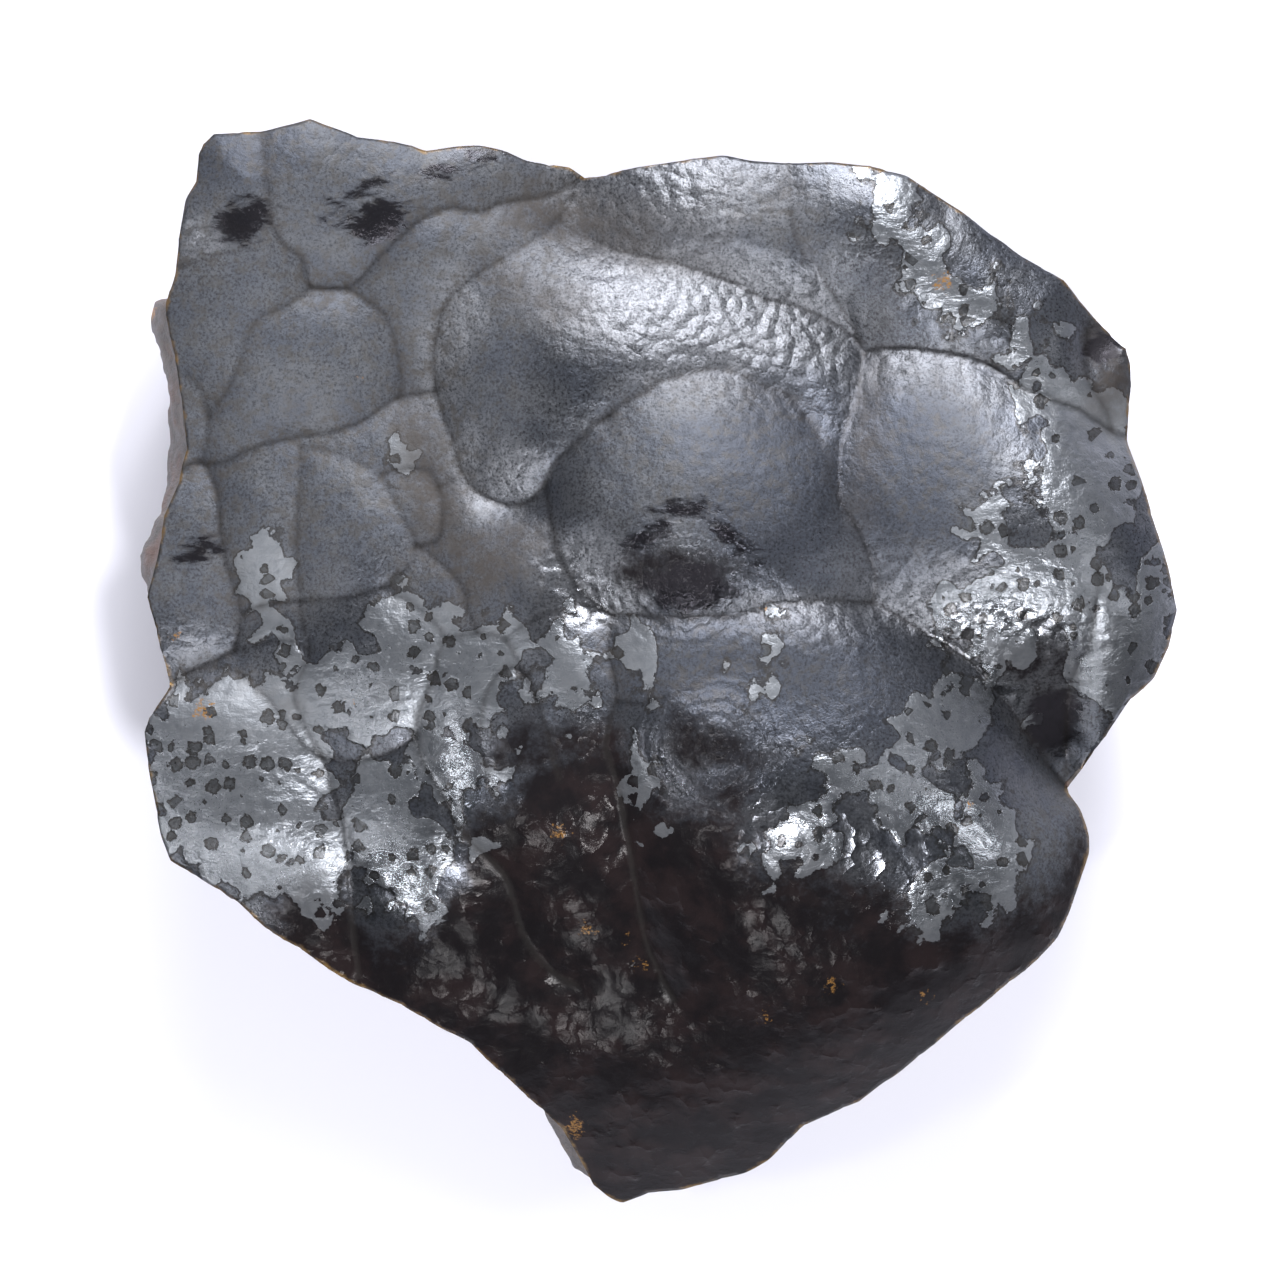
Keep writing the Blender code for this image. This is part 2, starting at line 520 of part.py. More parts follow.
def underside_height(points, foot):
    """Height of the underside: level in the middle, hollowed and raised towards its broken edge."""
    x, y = np.asarray(points).T
    distance = np.clip(edge_distance(x, y, foot), 0, None)
    rise = EDGE_RISE * np.clip(1 - distance / EDGE_BAND, 0, 1) ** 2
    waves = np.ones(len(x))
    for turn_x, turn_y, phase in HOLLOW_WAVES:
        waves = waves * np.sin(turn_x * x + turn_y * y + phase)
    hollow = HOLLOW_DEPTH * np.clip(waves, 0, 1)
    away = np.clip((np.hypot(x - SIDE_CENTRE[0], y - SIDE_CENTRE[1]) - FLAT_RADIUS) / EDGE_BAND, 0, 1)
    return (rise + hollow) * away


def stone_mesh():
    """Corners and triangles of the closed stone, in millimetres."""
    loop = np.array(OUTLINE)
    face = grown_face(loop)
    rim = stations(loop, RIM_STEP)
    rim_height = height_at(face, rim)

    crown = np.unravel_index(face.argmax(), face.shape)
    crown_point = (np.array(crown[::-1]) - FIELD_CELLS / 2) * CELL
    top = keep_clear(rim, [crown_point], CREASE_CLEAR)
    for _, _, points in CREASES.values():
        even = smooth_line(points, CREASE_STEP)
        even = even[edge_distance(even[:, 0], even[:, 1], loop) > CREASE_CLEAR]
        top = keep_clear(top, even, CREASE_CLEAR)
    top = keep_clear(top, offset_rows(loop, FACE_STEP, FACE_CLEAR), FACE_CLEAR)
    top_height = height_at(face, top)
    corners = [(x, y, z) for (x, y), z in zip(top, top_height)]
    faces = triangles(top, len(rim))

    foot = side_ring(rim, 1.0)
    foot_height = underside_height(foot, foot)
    upper = list(range(len(rim)))
    for depth in SIDE_DEPTH[1:]:
        ring = side_ring(rim, depth)
        ring_height = rim_height + (foot_height - rim_height) * depth
        lower = list(range(len(corners), len(corners) + len(rim)))
        corners += [(x, y, z) for (x, y), z in zip(ring, ring_height)]
        for index in range(len(rim)):
            after = (index + 1) % len(rim)
            faces.append((upper[index], upper[after], lower[index]))
            faces.append((upper[after], lower[after], lower[index]))
        upper = lower

    inner = offset_rows(foot, BASE_STEP, BASE_CLEAR)
    base = keep_clear(foot, inner, BASE_CLEAR)
    inner = base[len(foot):]
    corners_before = len(corners)
    corners += [(x, y, z) for (x, y), z in zip(inner, underside_height(inner, foot))]
    places = upper + list(range(corners_before, len(corners)))
    for face_corners in triangles(base, len(foot)):
        faces.append(tuple(places[corner] for corner in reversed(face_corners)))
    return corners, faces


def stone_material():
    """Satin blue-grey iron ore, close to a dark metal."""
    material = bpy.data.materials.new("hematite_ore")
    material.use_nodes = True
    shader = material.node_tree.nodes["Principled BSDF"]
    shader.inputs["Base Color"].default_value = (0.10, 0.11, 0.13, 1.0)
    shader.inputs["Metallic"].default_value = 0.6
    shader.inputs["Roughness"].default_value = 0.38
    return material


def build_stone():
    """The stone as one object, in metres, resting on z = 0."""
    corners, faces = stone_mesh()
    mesh = bpy.data.meshes.new("hematite")
    mesh.from_pydata([Vector(corner) * METRES_PER_MM for corner in corners], [], faces)
    mesh.materials.append(stone_material())
    mesh.validate()
    stone = bpy.data.objects.new("hematite", mesh)
    bpy.context.scene.collection.objects.link(stone)


for old in list(bpy.data.objects):
    bpy.data.objects.remove(old)
build_stone()
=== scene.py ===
"""Hematite specimen: a hand-sized piece of kidney ore on a pale table, seen from straight above.

Sizes on the stone are in millimetres and are turned into metres where its mesh is made. Places read off the
photograph are in its pixels, 1280 across and 1280 down, and are turned into millimetres as they are used.
"""

import math

import bpy
import numpy as np
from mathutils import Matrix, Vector, noise


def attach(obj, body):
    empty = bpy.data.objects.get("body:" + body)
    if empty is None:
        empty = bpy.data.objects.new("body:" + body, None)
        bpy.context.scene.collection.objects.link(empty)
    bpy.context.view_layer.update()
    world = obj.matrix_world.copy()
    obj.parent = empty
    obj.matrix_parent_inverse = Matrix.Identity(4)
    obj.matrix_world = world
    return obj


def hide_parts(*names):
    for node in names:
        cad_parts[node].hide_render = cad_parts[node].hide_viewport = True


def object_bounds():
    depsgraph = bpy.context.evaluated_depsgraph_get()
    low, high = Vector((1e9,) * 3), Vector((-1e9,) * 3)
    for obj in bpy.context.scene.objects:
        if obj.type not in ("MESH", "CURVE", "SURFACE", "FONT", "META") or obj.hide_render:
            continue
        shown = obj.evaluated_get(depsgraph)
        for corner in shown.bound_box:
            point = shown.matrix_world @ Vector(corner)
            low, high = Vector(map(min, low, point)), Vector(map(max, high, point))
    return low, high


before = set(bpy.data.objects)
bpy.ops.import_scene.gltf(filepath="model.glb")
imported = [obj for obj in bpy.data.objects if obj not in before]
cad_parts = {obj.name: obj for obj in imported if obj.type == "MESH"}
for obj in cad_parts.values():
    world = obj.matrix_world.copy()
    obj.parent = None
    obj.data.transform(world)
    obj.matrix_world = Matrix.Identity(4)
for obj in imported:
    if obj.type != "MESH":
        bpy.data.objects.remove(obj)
cad_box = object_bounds()


# The stone: one natural lump of kidney ore, an iron oxide that grew as a crust of lobes and was broken off.
# Its grown face has lobes that meet in creases. The fine skin starts from the solid of the frame, whose
# corners already lie on the creases and along the rim, and is split and laid on the same grown face.
METRES_PER_MM = 0.001
HEIGHT = 28.0
FIELD_SIZE = 88.0
FIELD_CELLS = 512
CELL = FIELD_SIZE / FIELD_CELLS

# Broad form of the grown face: a dome over a level terrace, falling away to the near edge
DOME_PLACE = (2.2, 3.0)
DOME_RISE = 9.0
DOME_REACH = 19.0
FALL_START = -8.7
FALL_RADIUS = 24.0
ROLLS = ((math.radians(-20.0), 2.4, 6.5), (math.radians(85.0), 1.5, 6.0))
RELIEF_REACH = 14.0
BLEND_FLOOR = 1e-7
LINE_STEP = 0.1

# Edge of the grown face, seen from above, from the far left corner and on clockwise
OUTLINE = (
    (-29.3, 32.8), (-29.0, 33.4), (-28.3, 34.1), (-26.7, 34.2), (-25.3, 34.2), (-23.5, 34.7),
    (-22.1, 35.1), (-20.9, 34.6), (-19.0, 33.9), (-17.1, 33.7), (-15.5, 33.3), (-14.7, 33.0),
    (-12.9, 33.3), (-11.3, 33.4), (-9.4, 33.0), (-8.1, 32.4), (-6.8, 32.2), (-5.5, 32.0), (-4.5, 31.3),
    (-3.2, 31.5), (-1.0, 32.0), (1.6, 32.4), (4.3, 32.8), (6.1, 32.4), (8.6, 32.2), (11.2, 32.3),
    (13.8, 32.0), (16.0, 31.5), (17.3, 30.6), (19.9, 29.0), (21.8, 27.5), (23.8, 26.1), (26.3, 24.7),
    (27.3, 23.4), (28.6, 21.9), (30.4, 20.3), (30.6, 19.6), (30.6, 17.8), (30.3, 14.4), (31.2, 11.9),
    (31.9, 9.6), (32.6, 7.4), (33.2, 5.1), (33.5, 3.4), (32.9, 1.1), (32.0, -0.9), (30.5, -2.3),
    (28.9, -4.7), (27.6, -6.5), (26.4, -8.0), (27.3, -9.2), (27.9, -11.0), (27.9, -11.9), (27.4, -13.4),
    (26.6, -15.9), (25.9, -17.5), (24.6, -18.9), (21.8, -21.2), (18.9, -23.6), (16.0, -26.1),
    (13.1, -28.3), (11.2, -29.1), (9.5, -29.9), (8.6, -30.9), (7.5, -32.1), (5.8, -33.1), (2.9, -33.8),
    (1.7, -34.2), (-0.4, -34.4), (-2.2, -35.1), (-3.2, -34.6), (-4.1, -33.8), (-5.3, -31.4),
    (-6.1, -30.0), (-7.4, -28.7), (-10.0, -26.3), (-11.9, -24.4), (-13.5, -23.6), (-16.4, -21.9),
    (-20.0, -20.2), (-22.9, -18.2), (-24.8, -17.1), (-26.7, -15.3), (-29.3, -13.7), (-31.1, -12.6),
    (-31.7, -11.0), (-32.0, -9.4), (-32.6, -6.1), (-32.8, -4.2), (-32.2, -2.9), (-31.1, -1.3),
    (-31.8, 1.1), (-32.4, 3.4), (-32.6, 4.3), (-32.0, 6.7), (-31.5, 9.6), (-30.6, 11.7), (-30.1, 13.8),
    (-30.3, 15.7), (-30.6, 18.6), (-31.1, 21.0), (-31.5, 22.8), (-30.8, 25.0), (-30.6, 27.3),
    (-30.2, 29.9), (-29.5, 31.0),
)

# Creases between lobes: how sharply the slope turns at the start and at the end of each, and its course
CREASES = {
    'corner_right': (0.3, 0.6, (
        (-25.3, 35.1), (-25.0, 32.1), (-24.7, 29.9), (-24.5, 28.1), (-23.7, 26.9), (-22.7, 26.1),
        (-22.3, 25.0), (-22.1, 24.1),
    )),
    'strip_under': (0.7, 0.9, (
        (-22.1, 24.1), (-20.0, 24.1), (-18.9, 24.7), (-17.8, 26.0), (-16.3, 27.4), (-14.5, 28.8),
        (-12.8, 29.3), (-11.2, 29.0), (-9.9, 29.6), (-8.7, 29.8), (-7.1, 30.1), (-6.0, 30.5),
        (-5.0, 31.3), (-4.6, 32.4),
    )),
    'corner_under': (0.5, 0.0, (
        (-31.3, 25.2), (-29.9, 25.7), (-28.3, 26.1), (-26.7, 26.5), (-25.3, 26.6),
    )),
    'tip_valley': (0.5, 1.0, (
        (-5.0, 31.3), (-5.4, 29.9), (-6.4, 28.4), (-7.9, 27.2), (-9.8, 26.0), (-11.4, 25.0),
        (-12.8, 23.8), (-13.6, 22.7), (-14.0, 21.2), (-14.2, 19.6), (-14.0, 17.5), (-13.5, 15.7),
        (-12.9, 14.4), (-12.6, 13.0), (-11.9, 11.6), (-11.0, 10.8), (-10.0, 10.3), (-9.2, 10.1),
        (-8.3, 10.3), (-7.6, 10.8), (-7.0, 11.7),
    )),
    'step_lobe_left': (0.4, 0.7, (
        (-22.1, 24.1), (-20.0, 24.1), (-18.6, 23.4), (-17.3, 22.4), (-16.7, 20.9), (-16.4, 19.2),
        (-16.2, 17.8), (-16.6, 17.0),
    )),
    'quilt_left_top': (0.3, 0.3, (
        (-25.3, 22.3), (-23.8, 22.9), (-22.1, 24.1),
    )),
    'quilt_left': (0.1, 0.3, (
        (-25.3, 22.3), (-26.1, 20.9), (-26.7, 18.9), (-27.5, 17.3), (-28.4, 16.4), (-28.6, 14.9),
        (-28.9, 13.4), (-29.3, 13.0),
    )),
    'quilt_under': (0.6, 0.9, (
        (-29.3, 13.0), (-27.9, 12.9), (-26.4, 13.6), (-24.8, 14.2), (-22.9, 14.6), (-20.3, 15.0),
        (-18.6, 15.7), (-17.4, 16.5), (-16.6, 17.0), (-15.1, 17.4), (-14.0, 17.5),
    )),
    'rim_strip': (0.2, 0.5, (
        (-30.2, 18.8), (-29.5, 18.2), (-28.9, 17.0), (-28.6, 15.7),
    )),
    'ear_top': (0.8, 0.8, (
        (-31.1, 10.6), (-30.6, 12.0), (-29.8, 12.9), (-28.9, 12.8), (-28.3, 11.7), (-27.9, 10.3),
        (-27.8, 8.5),
    )),
    'ear_right': (0.7, 0.7, (
        (-27.8, 8.5), (-27.5, 6.7), (-27.0, 5.1), (-26.6, 3.6), (-26.6, 2.2), (-27.0, 0.8),
    )),
    'ear_under': (0.7, 1.2, (
        (-27.0, 0.8), (-28.3, 0.2), (-29.4, -0.2), (-30.3, -0.8), (-31.1, -1.3), (-32.5, -1.9),
    )),
    'film_left': (0.3, 0.5, (
        (-22.7, 14.0), (-22.7, 11.9), (-22.9, 9.3), (-22.9, 6.7), (-22.7, 4.3),
    )),
    'film_right': (0.3, 0.7, (
        (-17.5, 12.1), (-16.8, 10.6), (-16.0, 9.2), (-15.3, 7.9), (-15.5, 6.6), (-16.4, 5.7),
        (-17.5, 4.9), (-19.6, 4.3), (-22.7, 4.1), (-24.7, 3.9), (-26.5, 3.4),
    )),
    'bead': (0.5, 0.6, (
        (-17.5, 12.1), (-16.1, 12.5), (-14.5, 12.4), (-13.9, 11.3), (-13.6, 9.8), (-13.9, 8.0),
        (-15.3, 7.6),
    )),
    'bead_join': (0.3, 0.3, (
        (-13.9, 11.3), (-12.8, 11.9), (-12.4, 12.5),
    )),
    'small_top': (0.3, 0.2, (
        (-22.7, 14.0), (-20.9, 13.7), (-19.0, 13.0), (-17.5, 12.1),
    )),
    'nest_under': (0.3, 0.4, (
        (-27.0, 0.8), (-25.3, 1.3), (-23.5, 1.6), (-22.1, 0.9),
    )),
    'nest_right': (0.3, 0.5, (
        (-22.7, 4.1), (-22.5, 2.5), (-22.1, 0.9), (-22.6, -0.5), (-23.1, -1.8), (-22.7, -3.2),
        (-22.0, -4.7), (-21.4, -5.9),
    )),
    'palm_under': (0.8, 0.8, (
        (-21.4, -5.9), (-19.9, -6.1), (-18.4, -6.0), (-16.9, -5.6), (-15.9, -5.0), (-15.3, -4.6),
    )),
    'palm_right': (0.5, 0.7, (
        (-13.9, 0.6), (-14.0, -0.5), (-14.6, -1.9), (-15.1, -3.3), (-15.3, -4.6),
    )),
    'palm_top': (0.4, 0.3, (
        (-17.5, 4.9), (-15.8, 4.1), (-14.1, 2.7), (-13.5, 1.6), (-13.9, 0.6),
    )),
    'finger_left': (0.7, 0.9, (
        (-15.3, -4.6), (-14.9, -6.1), (-13.9, -7.7), (-12.9, -9.6), (-11.9, -11.2), (-10.8, -12.2),
        (-9.7, -13.3), (-9.0, -15.3), (-8.5, -17.1), (-7.8, -18.4), (-6.4, -19.8), (-4.9, -20.6),
    )),
    'fist_top': (0.5, 0.4, (
        (-31.1, -1.3), (-29.8, -0.7), (-28.3, -0.2), (-26.7, -0.5), (-25.3, -1.6), (-24.0, -3.1),
        (-23.1, -4.3),
    )),
    'fist_right': (0.5, 0.9, (
        (-23.1, -4.3), (-22.2, -5.4), (-21.4, -5.9), (-20.7, -7.8), (-20.1, -9.5), (-19.8, -11.3),
        (-19.6, -13.3), (-19.4, -15.5), (-19.3, -17.4), (-19.0, -20.0),
    )),
    'dome_left': (0.4, 0.5, (
        (-11.2, -4.5), (-11.0, -2.6), (-10.4, -1.1), (-9.4, -0.2), (-8.3, -0.6), (-7.6, -2.0),
        (-7.1, -3.7), (-6.7, -5.1), (-6.1, -7.4),
    )),
    'finger_mid': (0.4, 0.0, (
        (-11.2, -4.5), (-10.8, -6.5), (-10.0, -8.7), (-9.2, -10.6), (-8.8, -12.6),
    )),
    'mottle_under': (0.4, 0.4, (
        (-13.5, 1.6), (-11.3, 2.0), (-9.6, 1.6), (-8.3, -0.6),
    )),
    'mottle_right': (0.6, 0.5, (
        (-7.0, 11.7), (-6.8, 9.9), (-6.4, 8.0), (-5.8, 6.2), (-4.5, 4.5), (-2.8, 3.2),
    )),
    'mottle_mid': (0.4, 0.4, (
        (-15.3, 7.6), (-13.9, 6.7), (-12.4, 5.1), (-11.9, 3.4), (-11.3, 2.0),
    )),
    'mottle_low': (0.3, 0.4, (
        (-9.6, 1.6), (-8.1, 2.7), (-6.1, 3.4), (-4.5, 3.8), (-2.8, 3.2),
    )),
    'big_left': (0.7, 1.3, (
        (-2.8, 3.2), (-3.0, 1.6), (-2.9, 0.3), (-2.5, -1.1), (-2.5, -2.3), (-2.9, -3.7), (-3.2, -5.2),
        (-2.8, -6.5), (-2.3, -8.1), (-2.0, -10.0), (-1.6, -11.9), (-1.3, -14.0), (-1.0, -15.9),
        (-0.6, -17.7), (0.3, -19.8), (1.3, -21.6),
    )),
    'big_shelf': (0.5, 0.1, (
        (-2.5, -2.3), (-0.9, -2.4), (0.8, -2.0), (2.2, -1.3), (3.8, -0.5), (5.1, 0.9),
    )),
    'bulge_top': (0.6, 0.7, (
        (-3.6, 15.4), (-2.2, 16.5), (-0.9, 17.3), (0.3, 18.0), (1.9, 18.5), (3.8, 18.9), (5.4, 18.6),
        (6.8, 17.8), (8.3, 17.3), (9.3, 16.2), (10.3, 14.7),
    )),
    'bulge_left': (0.7, 0.5, (
        (-7.0, 11.7), (-6.3, 13.0), (-5.2, 14.0), (-4.1, 15.1), (-2.9, 16.0),
    )),
    'bulge_right': (0.2, 0.0, (
        (10.3, 14.7), (10.7, 13.7), (11.0, 12.2),
    )),
    'deep_top': (0.9, 1.1, (
        (-6.1, 28.4), (-4.2, 27.3), (-2.3, 26.5), (-0.4, 26.1), (1.6, 25.6), (3.4, 25.0), (5.3, 24.3),
        (6.8, 23.5), (8.8, 23.0), (10.6, 22.3), (12.0, 21.5), (12.9, 20.7), (13.3, 19.8),
    )),
    'shoulder_split': (0.3, 0.6, (
        (8.6, 33.1), (8.6, 30.8), (8.8, 28.1), (9.3, 26.6), (10.3, 25.5), (11.1, 24.1), (12.1, 22.5),
        (13.3, 20.5),
    )),
    'shoulder_soft': (0.5, 0.0, (
        (18.0, 31.1), (18.3, 29.5), (18.5, 27.6), (18.9, 25.9),
    )),
    'low_ridge': (0.3, 0.3, (
        (22.1, 18.8), (21.2, 19.4), (20.3, 19.8),
    )),
    'right_top': (1.0, 0.8, (
        (13.3, 19.8), (14.0, 20.2), (15.7, 20.3), (17.6, 20.1), (19.6, 19.8), (21.2, 19.2),
        (22.5, 18.4), (23.6, 17.5), (25.2, 17.0), (27.0, 16.4), (28.3, 15.6), (29.3, 14.9),
        (31.1, 14.4),
    )),
    'right_left': (0.8, 0.8, (
        (13.3, 19.8), (13.1, 18.6), (13.0, 17.1), (12.5, 16.0), (12.0, 14.6), (11.7, 12.6),
        (11.7, 10.7), (12.2, 9.7), (12.9, 8.6), (13.4, 7.5), (13.9, 6.1), (14.0, 4.8), (13.8, 4.0),
    )),
    'chip_left': (0.9, 0.4, (
        (27.8, 22.0), (27.6, 20.9), (27.5, 19.6), (27.7, 18.3), (28.2, 17.4), (28.8, 16.4),
        (29.3, 14.9),
    )),
    'great_top': (1.2, 1.2, (
        (-2.8, 3.2), (-1.0, 3.1), (0.9, 3.0), (3.2, 3.1), (5.4, 3.2), (7.4, 3.8), (9.3, 4.0),
        (11.6, 4.1), (13.3, 4.0), (13.8, 4.0),
    )),
    'great_right': (1.2, 1.9, (
        (13.8, 4.0), (15.1, 3.3), (16.7, 2.3), (18.3, 1.3), (20.1, 0.2), (21.4, -1.3), (22.7, -2.8),
        (23.9, -4.6), (25.1, -6.3), (26.4, -7.9), (27.6, -8.7),
    )),
    'cleft_right': (0.2, 0.9, (
        (28.3, 6.7), (28.1, 4.1), (27.8, 1.6), (26.9, -0.2), (26.4, -2.3), (26.3, -4.5), (26.4, -7.9),
    )),
}

# Lobes: place of each crest, its radius of curvature, and how far that radius holds
LOBES = {
    'corner': (-27.5, 29.9, 11, 3.5),
    'strip': (-18.0, 29.5, 13, 4),
    'strip_end': (-10.0, 31.7, 15, 3.5),
    'drop': (-20.6, 25.5, 9, 2),
    'tip': (-11.3, 26.6, 13, 4),
    'step': (-15.5, 21.5, 14, 3),
    'shoulder_left': (2.2, 29.5, 18, 5),
    'shoulder': (14.4, 26.0, 20, 5),
    'shoulder_low': (24.1, 21.5, 18, 5),
    'chip': (29.1, 18.9, 10, 2),
    'left_rim': (-29.0, 21.5, 13, 3),
    'quilt': (-21.6, 18.9, 13, 4),
    'strap': (-29.8, 15.7, 9, 2),
    'film_hump': (-19.6, 9.3, 12, 3.5),
    'bead': (-15.1, 9.9, 8, 2),
    'patch': (-25.3, 8.6, 10, 3),
    'ear': (-29.4, 6.6, 12, 5),
    'nest': (-24.5, 2.5, 9, 2),
    'palm': (-19.0, -1.0, 12, 4),
    'fist': (-26.7, -8.1, 15, 6),
    'wedge': (-22.5, -3.6, 9, 2),
    'finger_a': (-16.4, -11.9, 11, 4),
    'finger_b': (-11.9, -6.1, 10, 3),
    'thumb': (-9.0, -2.6, 8, 2),
    'finger_c': (-5.5, -11.3, 12, 4),
    'mottle': (-10.0, 6.1, 11, 3),
    'mottle_low': (-5.5, 0.3, 10, 3),
    'ball': (-6.1, 20.9, 16, 7),
    'ball_right': (5.4, 20.9, 15, 4),
    'bulge': (2.2, 10.6, 16, 8),
    'right': (19.6, 11.9, 17, 7),
    'ear_right': (29.9, 1.6, 12, 4),
    'great': (7.0, -9.5, 16, 9),
    'low': (-2.3, -26.7, 26, 8),
    'shelf': (0.6, 0.6, 9, 2.5),
}

# Places whose slope is known, level crests and flanks: place, slope towards +X and +Y, and reach
KNOWN_SLOPES = {
    'corner': (-26.3, 28.3, 0, 0, 3),
    'strip': (-17.8, 28.6, 0, 0, 3),
    'ear': (-28.9, 7.2, 0, 0, 3),
    'fist': (-27.2, -5.6, 0.06, 0.06, 3.2),
    'fist_low': (-26.2, -12.2, 0.13, 0.40, 2.6),
    'great_low': (9.5, -11.0, -0.25, 0.28, 4.5),
    'great_far': (8.5, 0.5, 0.03, -0.12, 3),
    'great_far_left': (2.5, 1.2, 0, -0.12, 2.2),
    'bulge_near_left': (-5.0, 8.2, 0.42, 0.12, 1.7),
    'bulge_near': (-3.4, 5.9, 0.38, 0.26, 1.7),
    'bulge_near_low': (-1.4, 4.7, 0.18, 0.40, 1.3),
    'ball_near': (-9.0, 11.6, 0.26, 0.36, 1.5),
    'bulge': (2.1, 5.4, 0, 0, 2.6),
    'great': (3.6, -5.2, 0, 0, 4),
}
SLOPE_SPAN = 1.0

# Hollows in the grown face: place, depth and reach
HOLLOWS = {
    'dust_basin': (-4.5, 28.4, 1.2, 2.4),
    'chip_hollow': (28.6, 20.1, 1, 1.4),
    'cleft': (25.2, -2.0, 1.4, 2.0),
    'cleft_low': (26.4, -5.6, 1.0, 1.3),
}


def smooth_line(points, step):
    """Points every step along a smooth curve through the given ones."""
    points = np.array(points, float)
    first = 2 * points[0] - points[1]
    last = 2 * points[-1] - points[-2]
    points = np.vstack([first, points, last])
    parts = []
    for before, start, end, after in zip(points, points[1:], points[2:], points[3:]):
        count = max(2, int(np.hypot(*(end - start)) / step))
        t = (np.arange(count) / count)[:, None]
        pull = end - before
        bend = 2 * before - 5 * start + 4 * end - after
        turn = 3 * start - before - 3 * end + after
        parts.append(start + 0.5 * (pull * t + bend * t**2 + turn * t**3))
    parts.append(points[-2][None])
    return np.vstack(parts)


def edge_distance(x, y, loop):
    """Distance to a closed line, positive inside it and negative outside."""
    nearest = np.full(np.shape(x), np.inf)
    inside = np.zeros(np.shape(x), bool)
    for (ax, ay), (bx, by) in zip(loop, np.roll(loop, -1, axis=0)):
        dx, dy = bx - ax, by - ay
        t = np.clip(((x - ax) * dx + (y - ay) * dy) / (dx * dx + dy * dy), 0, 1)
        nearest = np.minimum(nearest, np.hypot(x - ax - t * dx, y - ay - t * dy))
        crosses = (ay > y) != (by > y)
        if dy != 0:
            inside ^= crosses & (x < ax + (y - ay) * dx / dy)
    return np.where(inside, nearest, -nearest)


def lobe_curvature(x, y):
    """How strongly the face curves at each place, taken from the nearest lobes."""
    total = np.zeros(np.shape(x))
    weight = np.zeros(np.shape(x))
    for place_x, place_y, radius, reach in LOBES.values():
        square = (x - place_x) ** 2 + (y - place_y) ** 2
        share = np.exp(-square / (2 * reach**2)) + BLEND_FLOOR / (1 + square)
        total += share * 2 / radius
        weight += share
    return total / weight


def add_crease(load, sharp_start, sharp_end, points):
    """Lays a crease on the grid, as a turn of slope spread over the cells that it crosses."""
    line = smooth_line(points, LINE_STEP)
    steps = np.hypot(*np.diff(line, axis=0).T)
    middle = (line[1:] + line[:-1]) / 2
    share = np.cumsum(steps) / steps.sum()
    turn = (sharp_start + (sharp_end - sharp_start) * share) * steps / CELL**2
    grid = middle / CELL + FIELD_CELLS / 2
    cell = np.floor(grid).astype(int)
    part = grid - cell
    for across in (0, 1):
        for along in (0, 1):
            near_x = part[:, 0] if across else 1 - part[:, 0]
            near_y = part[:, 1] if along else 1 - part[:, 1]
            np.add.at(load, (cell[:, 1] + along, cell[:, 0] + across), -turn * near_x * near_y)


def lobe_relief(x, y, inside):
    """Height of the lobes: a surface that curves as each lobe does and turns sharply at the creases."""
    load = lobe_curvature(x, y)
    for sharp_start, sharp_end, points in CREASES.values():
        add_crease(load, sharp_start, sharp_end, points)
    load[~inside] = load[inside].mean()
    wave_y = 2 * math.pi * np.fft.fftfreq(FIELD_CELLS, CELL)[:, None]
    wave_x = 2 * math.pi * np.fft.rfftfreq(FIELD_CELLS, CELL)[None, :]
    spread = wave_x**2 + wave_y**2 + 1 / RELIEF_REACH**2
    return np.fft.irfft2(np.fft.rfft2(load) / spread, s=load.shape)


def broad_form(x, y, distance):
    """Height of the face without its lobes."""
    square = (x - DOME_PLACE[0]) ** 2 + (y - DOME_PLACE[1]) ** 2
    height = DOME_RISE * np.exp(-square / (2 * DOME_REACH**2))
    height -= np.clip(FALL_START - y, 0, None) ** 2 / (2 * FALL_RADIUS)
    for side, drop, width in ROLLS:
        facing = np.clip(np.cos(np.arctan2(y, x) - side), 0, 1)
        height -= drop * facing * np.clip(1 - distance / width, 0, 1) ** 2
    for place_x, place_y, depth, reach in HOLLOWS.values():
        square = (x - place_x) ** 2 + (y - place_y) ** 2
        height -= depth * np.exp(-square / (2 * reach**2))
    return height


def set_slopes(height, x, y):
    """Tilts the face a little round each place whose slope is known."""
    beside = SLOPE_SPAN * np.array([(1, 0), (-1, 0), (0, 1), (0, -1)])
    for place_x, place_y, slope_x, slope_y, reach in KNOWN_SLOPES.values():
        right, left, far, near = height_at(height, beside + (place_x, place_y))
        turn_x = slope_x - (right - left) / (2 * SLOPE_SPAN)
        turn_y = slope_y - (far - near) / (2 * SLOPE_SPAN)
        off_x, off_y = x - place_x, y - place_y
        height += (turn_x * off_x + turn_y * off_y) * np.exp(-(off_x**2 + off_y**2) / (2 * reach**2))
    return height


def grown_face(loop):
    """Grid of heights of the grown face, with its crown at the full height of the stone."""
    axis = (np.arange(FIELD_CELLS) - FIELD_CELLS / 2) * CELL
    x, y = np.meshgrid(axis, axis)
    distance = edge_distance(x, y, loop)
    inside = distance > 0
    height = set_slopes(lobe_relief(x, y, inside) + broad_form(x, y, distance), x, y)
    return height + HEIGHT - height[inside].max()


def height_at(face, points):
    """Height of the grown face at some points, read between the cells of its grid."""
    grid = np.asarray(points) / CELL + FIELD_CELLS / 2
    cell = np.floor(grid).astype(int)
    part_x, part_y = (grid - cell).T
    near = face[cell[:, 1], cell[:, 0]] * (1 - part_x) + face[cell[:, 1], cell[:, 0] + 1] * part_x
    far = face[cell[:, 1] + 1, cell[:, 0]] * (1 - part_x) + face[cell[:, 1] + 1, cell[:, 0] + 1] * part_x
    return near * (1 - part_y) + far * part_y


